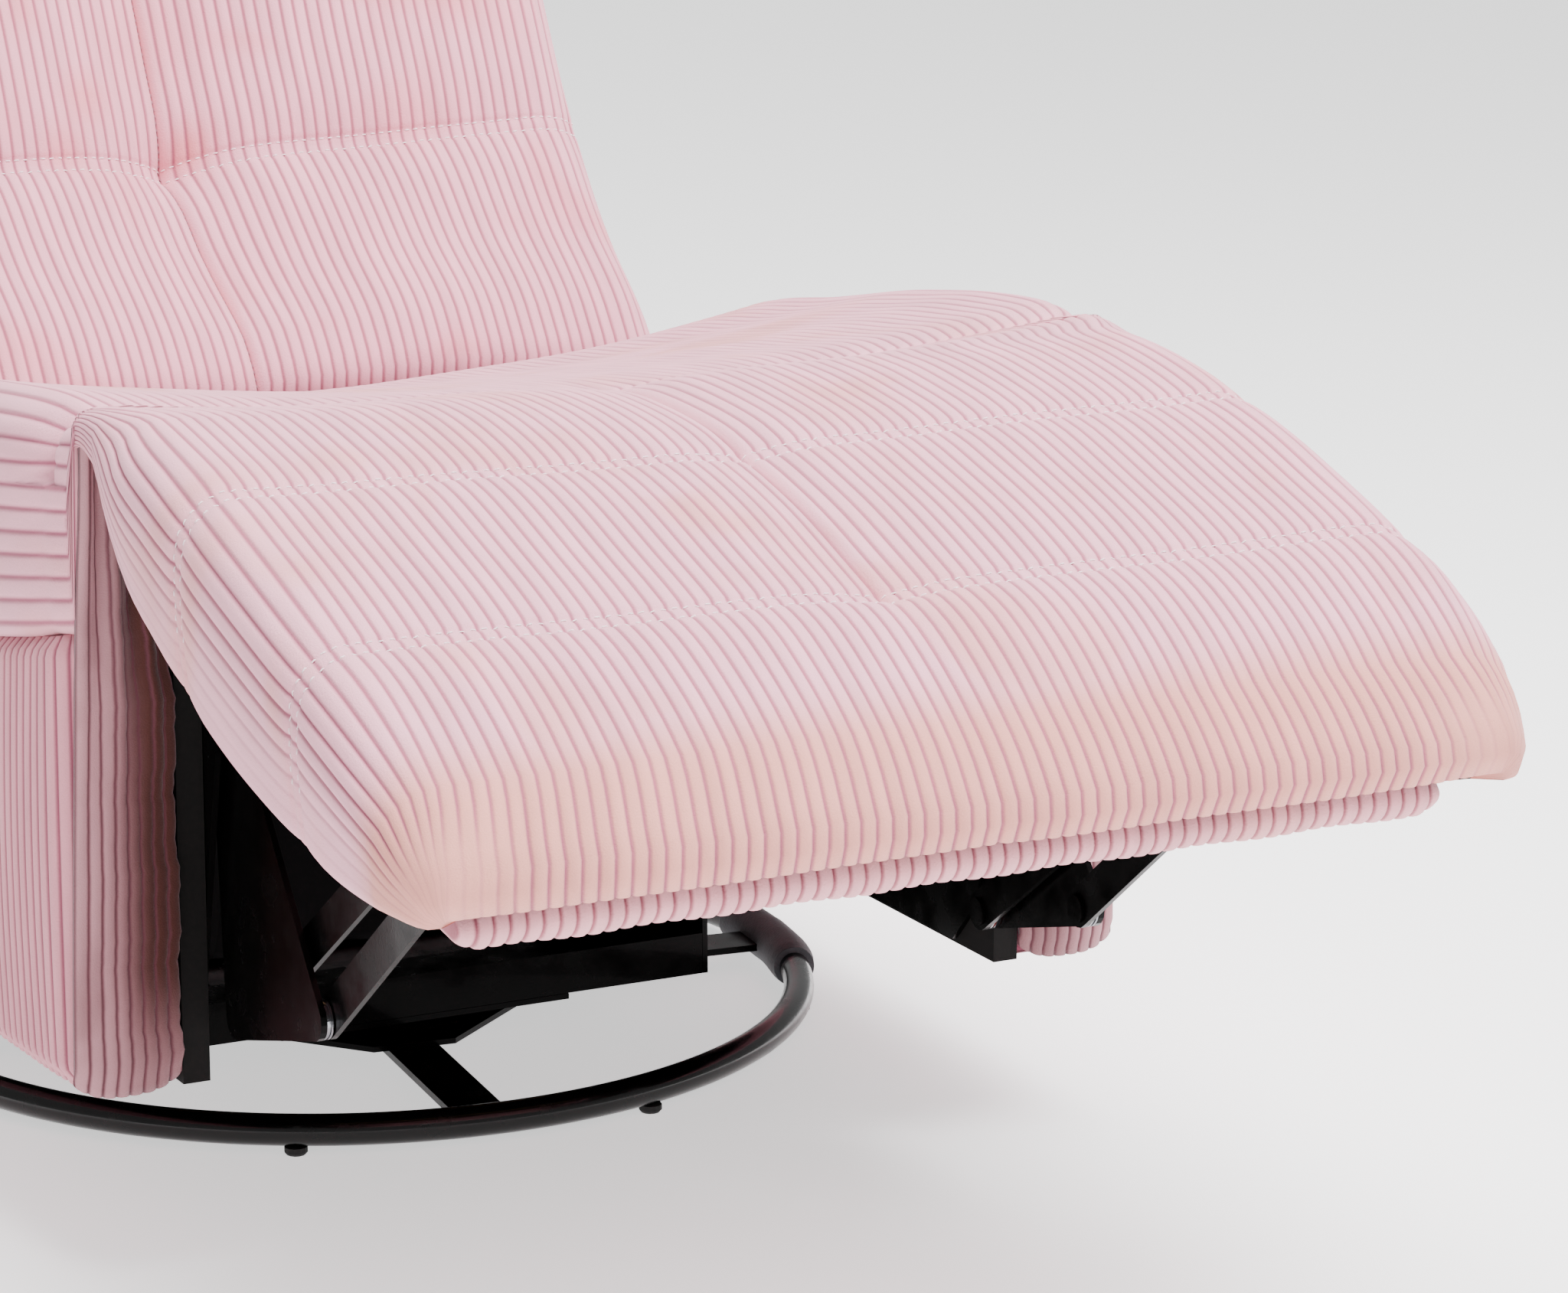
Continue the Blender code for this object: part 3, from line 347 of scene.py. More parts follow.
def path_at(points, at):
    """Smooth path through points, read at distances along the chords between them."""
    points = np.asarray(points, float)
    run = run_along(points)
    return np.stack([curve_at(run, points[:, k], at) for k in range(points.shape[1])], -1)


def step(low, high, x):
    """0 below low and 1 above high, with the cubic 3t^2 - 2t^3 between."""
    t = np.clip((x - low) / (high - low), 0, 1)
    return t * t * (3 - 2 * t)


def bell(x, width):
    """exp(-(x / width)^2): 1 at 0 and fading on both sides."""
    return np.exp(-(x / width) ** 2)


def wales(first, last):
    """Distances across the cloth from wale number first to last, at the samples of each wale."""
    return WALE * np.append((np.arange(first, last)[:, None] + WALE_STEPS).ravel(), last)


def pile(across):
    """Height of the pile: over each wale, 1 - |2 p - 1|^3.5, where p runs from 0 to 1 across it."""
    return 1 - np.abs(2 * np.mod(across / WALE + 1e-6, 1.0) - 1) ** 3.5


def outward(grid, way):
    """Unit normals of a grid of points: the cross product of its two directions, turned so that the one
    in the middle points along way."""
    normal = np.cross(np.gradient(grid, axis=0), np.gradient(grid, axis=1))
    normal = normal / np.maximum(np.linalg.norm(normal, axis=-1, keepdims=True), 1e-12)
    return normal * np.sign(normal[len(grid) // 2, grid.shape[1] // 2] @ way)


def cloth_map(across, along):
    """Weave map of a grid: how far each point is across the wales and along them, in metres."""
    return np.stack(np.broadcast_arrays(across, along), -1)


def edge_loop(rows, cols):
    """Indices of the border of a grid of rows by cols, once round."""
    index = np.arange(rows * cols).reshape(rows, cols)
    return np.concatenate([index[0], index[1:, -1], index[-1, -2::-1], index[-2:0:-1, 0]])


def border_of(grid):
    """Points of the border of a grid, once round."""
    return grid.reshape(-1, 3)[edge_loop(*grid.shape[:2])]


def cover(name, grid, weave, rings, finishes, lining_from=1, body=None, laid_pile_and_shade=None, plain=None):
    """Closed piece: a grid of points, with rings that carry its border inwards until they meet.

    rings is an array of (rings, border points, 3). weave is (rows, cols, 2) in metres. Faces from
    ring lining_from on take the second finish. Of the last two arguments, the first is how far each
    point is drawn to the warm colour, from 0 to 1: laid pile, and on the facing strips painted shade.
    plain is how far its grooves are pulled flat. The doubles that meet are merged.
    """
    rows, cols = grid.shape[:2]
    index = np.arange(rows * cols).reshape(rows, cols)
    loop = edge_loop(rows, cols)
    inner_index = rows * cols + np.arange(len(rings) * len(loop)).reshape(len(rings), -1)
    ring_index = np.vstack([loop, inner_index])
    following = np.roll(ring_index, -1, axis=1)
    front = np.stack([index[:-1, :-1], index[1:, :-1], index[1:, 1:], index[:-1, 1:]], -1).reshape(-1, 4)
    back = np.stack([ring_index[:-1], following[:-1], following[1:], ring_index[1:]], -1).reshape(-1, 4)
    faces = np.vstack([front, back])
    points = np.vstack([grid.reshape(-1, 3), rings.reshape(-1, 3)])
    inward = np.linalg.norm(rings - border_of(grid), axis=-1)
    flat = weave.reshape(-1, 2)
    edge_weave = flat[loop][None] + np.stack([np.zeros_like(inward), inward], -1)
    flat = np.vstack([flat, edge_weave.reshape(-1, 2)])
    mesh = bpy.data.meshes.new(name)
    mesh.from_pydata((points + (0, AXIS_Y, 0)).tolist(), [], faces.tolist())
    corners = np.empty(len(mesh.loops), np.int64)
    mesh.loops.foreach_get("vertex_index", corners)
    mesh.uv_layers.new(name="weave").data.foreach_set("uv", flat[corners].ravel())
    lining = np.zeros(len(faces), np.int32)
    lining[len(front) + lining_from * len(loop):] = 1 if len(finishes) > 1 else 0
    mesh.polygons.foreach_set("material_index", lining)
    for finish in finishes:
        mesh.materials.append(finish)
    for key, amount in (("laid_pile_and_shade", laid_pile_and_shade), ("plain", plain)):
        if amount is not None:
            value = np.concatenate([amount.ravel(), np.tile(amount.ravel()[loop], len(rings))])
            mesh.attributes.new(key, "FLOAT", "POINT").data.foreach_set("value", value.astype(np.float32))
    return settle(mesh, body, merge=True)


SIDES = (("left", -1), ("right", 1))
SIDE_LOW = 0.119
SIDE_PLAN = [(0.3575, -0.4595), (0.3660, -0.4575), (0.3725, -0.4500), (0.3770, -0.4200), (0.3815, -0.3400),
             (0.3850, -0.2000), (0.3855, 0.0000), (0.3850, 0.1600), (0.3820, 0.2400), (0.3720, 0.2620),
             (0.3520, 0.2715), (0.3060, 0.2725)]
SIDE_INNER, SIDE_DROP = 0.3030, 0.29          # inner face, and the cloth's length from seam to foot
FRONT_Y, SEAM_FRONT, SEAM_FALL = -0.459, 0.417, 0.20
SIDE_ROWS = (np.linspace(0, 0.06, 5), np.linspace(0.10, 0.88, 64), np.linspace(0.91, 1.0, 7))
LATCH_Y, LATCH_Z, LATCH_HALF_Y, LATCH_HALF_Z = -0.0600, 0.2350, 0.0600, 0.0300
LATCH_CUT, LATCH_FLOOR = 0.0045, 0.3485   # cloth cut back round the cup, and tucked in behind it


def seam_height(y):
    """Height of the seam between the seat cover and the side, falling to the back."""
    return SEAM_FRONT - SEAM_FALL * (y - FRONT_Y)


for label, hand in SIDES:
    plan_run = run_along(np.array(SIDE_PLAN))[-1]
    across = wales(0, int(plan_run / WALE))
    plan = path_at(SIDE_PLAN, across * plan_run / across[-1])
    share = np.concatenate(SIDE_ROWS)[:, None]
    top = seam_height(plan[:, 1])[None]
    z = top + (SIDE_LOW - top) * share
    under = step(0.93, 1.0, share) * 0.016 + (1 - step(0.0, 0.045, share)) * 0.005
    swell = 0.004 * np.sin(math.pi * share) * step(0, 0.05, across)[None]
    ahead = np.gradient(plan, axis=0)
    ahead /= np.linalg.norm(ahead, axis=1, keepdims=True)
    out = np.stack([ahead[:, 1], -ahead[:, 0]], 1)
    x = plan[None, :, 0] + (swell - under) * out[None, :, 0]
    y = plan[None, :, 1] + (swell - under) * out[None, :, 1]
    grid = np.stack([np.maximum(x, SIDE_INNER + 0.002), y, z], -1)
    facing = outward(grid, (1, 0, 0))
    seam_dip = bell(share * SIDE_DROP, 0.004)
    relief = WALE_HEIGHT * pile(across)[None] * (1 - 0.5 * seam_dip) - 0.0025 * seam_dip
    grid = grid + facing * relief[..., None]
    if label == "left":
        in_y = np.abs(grid[..., 1] - LATCH_Y) < LATCH_HALF_Y + LATCH_CUT
        in_z = np.abs(grid[..., 2] - LATCH_Z) < LATCH_HALF_Z + LATCH_CUT
        beside = grid[..., 0] > SIDE_INNER + 0.05
        grid[..., 0] = np.where(in_y & in_z & beside, LATCH_FLOOR, grid[..., 0])
    weave = cloth_map(across, z)
    border = border_of(grid)
    inner = np.stack([np.full(len(border), SIDE_INNER), np.maximum(border[:, 1], -0.4520), border[:, 2]], -1)
    middle = inner.copy()
    middle[:, 2] = (seam_height(border[:, 1]) + SIDE_LOW) / 2
    turned = inner * 0.1 + border * 0.9
    turned[:, 1] = np.maximum(turned[:, 1], -0.4530)
    rings = np.stack([turned, inner, middle])
    mirror = np.array([hand, 1, 1])
    piece = cover("side_panel_" + label, grid * mirror, weave, rings * mirror, [side_cloth, cambric], 2,
                  "seat")
    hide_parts("side_cover_" + label)

# ---------------------------------------------------------------------------------------------
# Facing strips down the front edges of the sides: an offcut of the corduroy, gathered into loose
# pleats at the top, felled to the side and stapled raw-edged to the plywood.
# Its colours are the corduroy's darkened. Its warm colour, a dark brown laid on in noise patches and by the
# mask below, is painted shade under the pad's overhang.
strip_cloth = corduroy("strip_corduroy", "B4838A", "5E343D", "45241F", 0.9)
STRIP_INNER, STRIP_OUTER, STRIP_TOP, STRIP_FACE = 0.3020, 0.3665, 0.5450, -0.4605
STRIP_WALES, STRIP_ROWS, STRIP_MIDDLE = 8, 72, 0.332
for label, hand in SIDES:
    across = wales(0, STRIP_WALES)
    share = np.linspace(0, 1, STRIP_ROWS)[:, None]
    u = (across / across[-1])[None]
    z = STRIP_TOP + (SIDE_LOW - 0.001 - STRIP_TOP) * share + 0 * u
    outer = STRIP_OUTER - 0.008 * bell(share, 0.25) + 0.007 * step(0.3, 1.0, share)
    ragged = 0.0011 * np.sin(share * 23 + 1) + 0.0007 * np.sin(share * 71 + 1) + 0.0005 * np.sin(share * 197)
    inner = STRIP_INNER + 0.020 * step(0.45, 0.0, share) + ragged
    x = outer + (inner - outer) * u
    pleat = 0.0068 * step(0.70, 0.10, share) * np.sin(u * 17.0 + 2.6 * share) * np.sin(math.pi * u) ** 0.5
    z = z + 0.011 * step(0.93, 1.0, share) * np.abs(2 * u - 1) ** 3
    pucker = 0.0009 * np.sin(share * 21 + 4 * u) * step(0.0, 0.2, share) * np.sin(math.pi * u)
    round_off = 0.0045 * step(0.94, 1.0, share) ** 2
    crown = 0.0055 * np.sin(math.pi * np.clip(u * 0.92 + 0.04, 0, 1)) ** 0.6
    y = STRIP_FACE - crown - pleat - pucker + round_off
    grid = np.stack([x, y, z], -1)
    facing = outward(grid, (0, -1, 0))
    grid = grid + facing * (WALE_HEIGHT * pile(across)[None] * (0.6 + 0.4 * share))[..., None]
    weave = cloth_map(across, z)
    border = border_of(grid)
    flat = border * (1, 0, 1) + (0, STRIP_FACE + 0.0012, 0)
    middle = flat.copy()
    middle[:, 0] = STRIP_MIDDLE
    rings = np.stack([flat, middle])
    mirror = np.array([hand, 1, 1])
    # Painted shade of the pad's overhang: the strip is drawn toward its dark brown from its outer edge
    # inwards, less toward its foot and not at its very top.
    shaded = step(0.12, 0.75, u) * (0.45 + 0.55 * step(1.0, 0.8, share)) * step(0.0, 0.15, share)
    piece = cover("front_strip_" + label, grid * mirror, weave, rings * mirror, [strip_cloth], 1, "seat",
                  laid_pile_and_shade=shaded)

# ---------------------------------------------------------------------------------------------
# Dust cloth: black cambric hung between the mechanism's plates behind the legrest's linkage, in
# shallow folds, so that the springs and the glider don't show from the front.
CLOTH_HALF, CLOTH_TOP, CLOTH_LOW, CLOTH_Y, CLOTH_THICK = 0.2765, 0.3430, 0.1260, -0.2350, 0.0012
FOLD = 0.004
across, down = np.meshgrid(np.linspace(-1, 1, 90), np.linspace(0, 1, 40))
fold = FOLD * np.sin(across * 19 + 3 * down) * np.cos(across * math.pi / 2) * (0.3 + 0.7 * down)
grid = np.stack([CLOTH_HALF * across, CLOTH_Y + fold, CLOTH_TOP + (CLOTH_LOW - CLOTH_TOP) * down], -1)
border = border_of(grid) + (0, CLOTH_THICK, 0)
middle = border * (0, 1, 1)
dust_cloth = cover("dust_cloth", grid, grid[..., [0, 2]], np.stack([border, middle]), [cambric], 1, "seat")

# Tail cloth: a sagging sheet of the same cambric from the seat's rear rail to the apron, closing the
# gap below the back. It lies between the glider's stanchions and under the back's hinge.
TAIL_HALF, TAIL_FRONT, TAIL_REAR, TAIL_Z, TAIL_SAG = 0.2110, 0.0860, 0.2430, 0.2540, 0.0080
sag = TAIL_SAG * np.sin(math.pi * down) * (1 - 0.3 * np.cos(across * 9))
grid = np.stack([TAIL_HALF * across, TAIL_FRONT + (TAIL_REAR - TAIL_FRONT) * down, TAIL_Z - sag], -1)
border = border_of(grid) - (0, 0, CLOTH_THICK)
middle = border * (0, 1, 1)
tail_cloth = cover("tail_cloth", grid, grid[..., :2], np.stack([border, middle]), [cambric], 1, "seat")

# ---------------------------------------------------------------------------------------------
# Washers: zinc-plated spacers stacked between the legrest's cranks and straps at the lower pivots,
# with one of red fibre at each rear strap. They turn with the cranks. Zinc shines a soft light grey,
# and the fibre is a dull dark red.
zinc, _ = new_finish("zinc_plate", "8E9094", 0.24, Metallic=1.0)
red_fibre, _ = new_finish("red_fibre", "8A1712", 0.6)
WASHER_SIDES, WASHER_HOLE, WASHER_THICK, WASHER_FIRST = 40, 0.0097, 0.0012, 0.2650
WASHER_RADIUS, WASHER_STEP, WASHER_GAP = 0.0128, 0.0008, 0.0002


def washer(name, y, z, x, radius, finish):
    """Flat ring about an axis along X through (y, z): four circles joined into a closed band."""
    turn = np.arange(WASHER_SIDES) * 2 * math.pi / WASHER_SIDES
    corners = ((x, WASHER_HOLE), (x, radius), (x + WASHER_THICK, radius), (x + WASHER_THICK, WASHER_HOLE))
    circles = np.stack([np.stack([np.full(WASHER_SIDES, at), y + AXIS_Y + r * np.cos(turn),
                                  z + r * np.sin(turn)], -1) for at, r in corners])
    return band(name, circles, finish, "crank", smooth=False)


STRAP_PIVOTS = (("rear", -0.478, 0.163, (zinc, red_fibre, zinc)),
                ("front", -0.609, 0.199, (zinc, zinc, zinc)))
for label, hand in SIDES:
    for strap, y, z, stack in STRAP_PIVOTS:
        for k, finish in enumerate(stack):
            near = WASHER_FIRST + k * (WASHER_THICK + WASHER_GAP)
            x = near if hand > 0 else -near - WASHER_THICK
            radius = WASHER_RADIUS - WASHER_STEP * (k % 2)
            ring = washer(f"{strap}_washer_{k + 1}_{label}", y, z, x, radius, finish)

# ---------------------------------------------------------------------------------------------
# Seat and chaise pad: one long foam pad in a corduroy cover, from the back over the crest to the
# legrest's nose. Twin rows of felling cross it, and a tucked seam runs down its middle.
seat_cloth = corduroy("seat_corduroy", "E8A6B6", "A6586F", "D9917F")
TOP_WALES, SIDE_WALES = 34, 12
CREST_LINE = [(0.0940, 0.3180), (0.1010, 0.3650), (0.1000, 0.4250), (0.0850, 0.4580), (0.0400, 0.4800),
              (-0.0890, 0.5080), (-0.2360, 0.5365), (-0.3360, 0.5500), (-0.4250, 0.5570), (-0.5200, 0.5585),
              (-0.6140, 0.5470), (-0.7090, 0.5245), (-0.7980, 0.4970), (-0.8790, 0.4690), (-0.9270, 0.4390),
              (-0.9610, 0.4060), (-0.9745, 0.3820), (-0.9690, 0.3650)]
LOWER_EDGE = [(-0.9690, 0.3600), (-0.9380, 0.3610), (-0.8720, 0.3650), (-0.8060, 0.3770), (-0.7030, 0.4000),
              (-0.6020, 0.4370), (-0.5470, 0.4630), (-0.5110, 0.4980), (-0.4850, 0.5250), (-0.4660, 0.5330)]
CREST_SEAM_Y, ROWS_Y, ROW_GAP = -0.446, (-0.650, -0.830), 0.011
ROW_EDGES = (-ROW_GAP / 2, ROW_GAP / 2)       # the two felled edges of a seam
HINGE_Y, UNDER_FRONT = -0.590, 0.416
NOSE_Y, NOSE_FRONT, SEAM_Y, PAD_REAR = -0.927, -0.9690, -0.4595, 0.0985
# Half-width of the pad, and how far its middle is hollowed by use, at places along Y.
HALF_AT = (-0.98, -0.90, -0.70, -0.52, -0.47, -0.445, -0.41, -0.30, -0.10, 0.11)
HALF_WIDTH = (0.3640, 0.3680, 0.3680, 0.3620, 0.3600, 0.3680, 0.3765, 0.3830, 0.3860, 0.3840)
HOLLOW_AT = (-0.98, -0.80, -0.60, -0.50, -0.40, -0.20, 0.00, 0.11)
HOLLOW_DEPTH = (0.0, 0.003, 0.006, 0.012, 0.024, 0.036, 0.036, 0.030)


def rows_for(length, places, spacing=0.013, fine=0.0022, reach=0.013):
    """Distances along the pad: even, and close together round each of places."""
    even = np.linspace(0, length, int(length / spacing))
    close = np.concatenate([place + np.arange(-reach, reach + fine, fine) for place in places])
    close = close[(close > 0) & (close < length)]
    keep = even[np.min(np.abs(even[:, None] - close[None]), axis=1) > fine]
    return np.sort(np.concatenate([keep, [0.0, length], close])) if len(close) else even


def seat_underside(y):
    """Underside of the pad: it falls to the back, rises to the hinge, and falls again to the nose."""
    seat = np.where(y > FRONT_Y, UNDER_FRONT - SEAM_FALL * (y - FRONT_Y), UNDER_FRONT + 0.18 * (FRONT_Y - y))
    return np.where(y > HINGE_Y, seat, 0.4396 - 0.2235 * (HINGE_Y - y))


crest_run = run_along(np.array(CREST_LINE))[-1]
dense = np.linspace(0, crest_run, 4000)
dense_line = path_at(CREST_LINE, dense)
after_rear = dense > 0.2


def place_of(y):
    """Distance along the crest line at which it passes y."""
    return float(np.interp(-y, -dense_line[after_rear, 0], dense[after_rear]))


seam_runs = [place_of(y) for y in ROWS_Y]
crest_at = place_of(CREST_SEAM_Y)
lines = [crest_at] + [place + gap for place in seam_runs for gap in ROW_EDGES] + [place_of(SEAM_Y)]
v = np.unique(np.round(rows_for(crest_run, lines), 5))
line = path_at(CREST_LINE, v)
ty, tz = line[:, :1], line[:, 1:]
nose = step(place_of(NOSE_Y), crest_run, v)[:, None]
ey = np.where(ty < NOSE_Y, NOSE_Y - 0.040 * nose, np.minimum(ty, PAD_REAR))
front_edge = curve_at(*zip(*LOWER_EDGE), np.maximum(ey, NOSE_FRONT))
ez = np.where(ey > SEAM_Y, seam_height(ey), front_edge)
ez = np.minimum(ez, tz - 0.004)
across = wales(-TOP_WALES - SIDE_WALES, TOP_WALES + SIDE_WALES)[None]
half = curve_at(HALF_AT, HALF_WIDTH, ty)
nose_round = np.clip((v[:, None] - place_of(-0.940)) / (crest_run - place_of(-0.940)), 0, 1)
half = half - 0.026 * (1 - np.sqrt(1 - nose_round ** 2 * 0.96))
depth = np.hypot(ty - ey, tz - ez)
corner = np.minimum(0.034, 0.5 * depth)
under = np.minimum(0.010, 0.2 * depth)
side_path = corner * math.pi / 2 + (depth - corner - under) + under * math.pi / 2
turn = np.clip((np.abs(across) / WALE - TOP_WALES) / SIDE_WALES, 0, 1) * side_path
phi = np.clip(turn / np.maximum(corner, 1e-6), 0, math.pi / 2)
psi = np.clip((turn - (side_path - under * math.pi / 2)) / np.maximum(under, 1e-6), 0, math.pi / 2)
down = np.where(turn < corner * math.pi / 2, corner * (1 - np.cos(phi)),
                np.minimum(corner + turn - corner * math.pi / 2, depth - under) + under * np.sin(psi))
out = half - corner * (1 - np.sin(phi)) - under * (1 - np.cos(psi))
t = np.clip(np.abs(across) / (TOP_WALES * WALE), 0, 1)
flat_x = t * (half - corner)
x = np.where(turn > 0, out, flat_x) * np.sign(across)
share = np.clip(down / np.maximum(depth, 1e-6), 0, 1)
x = x + np.sign(across) * 0.004 * np.sin(math.pi * share) * step(0.03, 0.10, depth)
y = ty + (ey - ty) * share
z = tz + (ez - tz) * share
hollow = curve_at(HOLLOW_AT, HOLLOW_DEPTH, ty) * step(crest_run + 0.001, crest_run - 0.06, v)[:, None]
z = z - hollow * (1 - t ** 2.2) * (turn <= 0)
grid = np.stack([x, y, z], -1)
facing = outward(grid, (0, 0, 1))
run = v[:, None]
amount = np.zeros_like(x)
strip = np.zeros_like(x)
for place in seam_runs:
    for gap in ROW_EDGES:
        amount -= 0.0016 * bell(run - place - gap, 0.0022)
    amount -= 0.0016 * bell(run - place, 0.020)
    strip += bell(run - place, 0.007)
wander = crest_at + 0.012 * step(0.30, 0.0, np.abs(x)) - 0.010 * step(0.30, 0.37, np.abs(x))
fade = 0.25 + 0.75 * step(0.05, 0.30, np.abs(x))
amount -= fade * (0.0062 * bell(run - wander, 0.0050) + 0.005 * bell(run - wander, 0.026)) * (down < 0.05)
centre_from = place_of(-0.44)
tuck = step(centre_from - 0.05, centre_from + 0.05, run)
tuck = tuck * (1 - 0.75 * step(seam_runs[1], seam_runs[1] + 0.02, run))
amount -= (0.0042 * bell(across, 0.0035) + 0.0055 * bell(across, 0.030)) * tuck
panel = np.interp(v, [0, crest_at] + seam_runs + [crest_run], [0, 1, 2, 3, 4])[:, None]
amount += (0.0018 * np.sin(math.pi * np.mod(panel, 1.0)) ** 0.7 * step(0.37, 0.30, np.abs(x))
           * np.clip(np.sin(math.pi * t), 0.3, 1))
amount += (0.0010 * np.sin(run * 31 + across * 9) * np.sin(run * 17 - across * 23)
           * step(0.37, 0.33, np.abs(x)))
local = np.linalg.norm(np.gradient(grid, axis=1), axis=-1) / np.maximum(np.gradient(across, axis=1), 1e-9)
relief = WALE_HEIGHT * pile(across) * np.clip(local, 0.15, 1.0) * (1 - 0.45 * np.clip(strip, 0, 1))
relief *= 1 - 0.6 * fade * bell(run - wander, 0.006)
plain = step(0.35, 0.85, share) * (down > 0) * step(-0.48, -0.56, y)
plain = np.maximum(plain, step(0.285, 0.335, np.abs(x)) * step(0.12, 0.55, nose_round))
relief *= 1 - 0.9 * plain
grid = grid + facing * (amount + relief)[..., None]
border = border_of(grid)
base_y = np.clip(border[:, 1], -0.955, 0.090)
tucked = border * (0.955, 1, 1)
tucked[:, 1] = base_y
inner = np.stack([border[:, 0] * 0.80, np.clip(border[:, 1], -0.945, 0.080),
                  seat_underside(base_y) + 0.001], -1)
spine = inner * (0, 1, 1)
spine[:, 1] = np.clip(border[:, 1], -0.90, 0.04)
spine[:, 2] = seat_underside(spine[:, 1]) + 0.001
# The cover is drawn 85 per cent of the way to its warm colour in a band round the nose.
laid_pile_and_shade = np.broadcast_to(0.85 * step(place_of(-0.905), place_of(-0.945), run), x.shape)
pad = cover("chaise_pad", grid, cloth_map(across, run), np.stack([tucked, inner, spine]),
            [seat_cloth, cambric], 1, laid_pile_and_shade=laid_pile_and_shade, plain=0.8 * plain)
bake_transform(pad)
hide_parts("seat_cushion", "legrest_pad")

# Felling thread: white-pink core-spun thread, in stitches 4.5 mm long along both edges of a seam.
THREAD, THREAD_SIDES = 0.00055, 5
thread, thread_shader = new_finish("spun_thread", "F3DDE1", 0.6, Sheen_Weight=0.2)
twist = add_node(thread, "ShaderNodeTexWave", {"Scale": 260.0, "Distortion": 1.0},
                 {"Vector": add_node(thread, "ShaderNodeTexCoord").outputs["Object"]},
                 bands_direction="DIAGONAL")
twist_bump = add_node(thread, "ShaderNodeBump", {"Strength": 0.4, "Distance": 0.0003},
                      {"Height": twist.outputs["Fac"]})
thread.node_tree.links.new(twist_bump.outputs["Normal"], thread_shader.inputs["Normal"])


def stitches(name, seams, finish, length=0.0045, pitch=0.0075, radius=THREAD, body=None):
    """Rows of stitches along seams, each a (points, normals) pair: a stitch is a five-sided tube
    through four points, its radius and its height over the cloth falling to nothing at its ends."""
    tubes = []
    for points, normals in seams:
        run = run_along(points)
        start = np.arange(0.004, run[-1] - length, pitch)[:, None] + np.array([0.0, 0.22, 0.78, 1.0]) * length
        centre = np.stack([np.interp(start, run, points[:, k]) for k in range(3)], -1)
        up = np.stack([np.interp(start, run, normals[:, k]) for k in range(3)], -1)
        way = centre[:, -1:] - centre[:, :1]
        way = way / np.maximum(np.linalg.norm(way, axis=-1, keepdims=True), 1e-9)
        side = np.cross(way, up)
        side /= np.maximum(np.linalg.norm(side, axis=-1, keepdims=True), 1e-9)
        shape = np.array([0.25, 1.0, 1.0, 0.25])[None, :, None, None]
        angle = (np.arange(THREAD_SIDES) * 2 * math.pi / THREAD_SIDES)[None, None, :, None]
        lift = np.array([-0.5, 1.0, 1.0, -0.5])[None, :, None, None] * radius
        tubes.append(centre[:, :, None] + up[:, :, None] * (lift + radius * shape * np.sin(angle))
                     + side[:, :, None] * radius * shape * np.cos(angle))
    tubes = np.concatenate(tubes)
    index = np.arange(4 * THREAD_SIDES).reshape(4, THREAD_SIDES)
    beside = np.roll(index, -1, axis=1)
    first = (np.arange(len(tubes)) * index.size)[:, None, None]
    tile = np.stack([index[:-1], beside[:-1], beside[1:], index[1:]], -1).reshape(1, -1, 4)
    faces = (first + tile).reshape(-1, 4).tolist()
    faces += (first[:, 0] + np.roll(index[0, ::-1], 1)).tolist() + (first[:, 0] + index[-1]).tolist()
    mesh = bpy.data.meshes.new(name)
    mesh.from_pydata((tubes.reshape(-1, 3) + (0, AXIS_Y, 0)).tolist(), [], faces)
    mesh.materials.append(finish)
    return settle(mesh, body)


def seam_lines(grid, facing, run, places, margin):
    """Points and normals along both edges of each seam: the grid's rows nearest to them, without the last
    points at each end, as many as margin."""
    rows = [int(np.argmin(np.abs(run - place - gap))) for place in places for gap in ROW_EDGES]
    return [(grid[row, margin:-margin], facing[row, margin:-margin]) for row in rows]


pad_thread = stitches("pad_stitches", seam_lines(grid, facing, v, seam_runs, 20), thread)
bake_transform(pad_thread)

# ---------------------------------------------------------------------------------------------
# Flap under the nose: the legrest's plywood board wrapped in thin wadding and corduroy, with the
# wales across its edge and its ends folded round.
flap_cloth = corduroy("flap_corduroy", "E0A0A8", "98505F", "D8988E")
FLAP_HALF, FLAP_WALES, FLAP_FOLD = 0.320, 32, 0.016
FLAP_CORE, FLAP_CORE_RUN = ((-0.640, 0.411), (-0.928, 0.3465)), 0.29513
FLAP_EDGE = [(-0.640, 0.4245), (-0.780, 0.3935), (-0.880, 0.3710), (-0.922, 0.3615), (-0.9360, 0.3560),
             (-0.9395, 0.3460), (-0.9330, 0.3370), (-0.9150, 0.3360), (-0.860, 0.3480), (-0.640, 0.3975)]
flap_run = run_along(np.array(FLAP_EDGE))[-1]
share = np.unique(np.concatenate([np.linspace(0, 1, 30), np.linspace(0.42, 0.60, 34)]))
edge = path_at(FLAP_EDGE, share * flap_run)
across = wales(-FLAP_WALES, FLAP_WALES)[None]
ends = step(FLAP_HALF, FLAP_HALF - FLAP_FOLD, np.abs(across)) ** 0.5
middle = path_at(FLAP_CORE, np.array([0.0, FLAP_CORE_RUN]))
fraction = np.clip((edge[:, :1] - middle[0, 0]) / (middle[1, 0] - middle[0, 0]), 0, 1)
core = middle[0] + (middle[1] - middle[0]) * fraction
y = core[:, :1] + (edge[:, :1] - core[:, :1]) * (0.55 + 0.45 * ends)
z = core[:, 1:] + (edge[:, 1:] - core[:, 1:]) * (0.35 + 0.65 * ends)
grid = np.stack([np.broadcast_to(across, z.shape), y, z], -1)
facing = outward(grid, (0, -1, 0))
front = bell(edge[:, :1] + 0.936, 0.03)
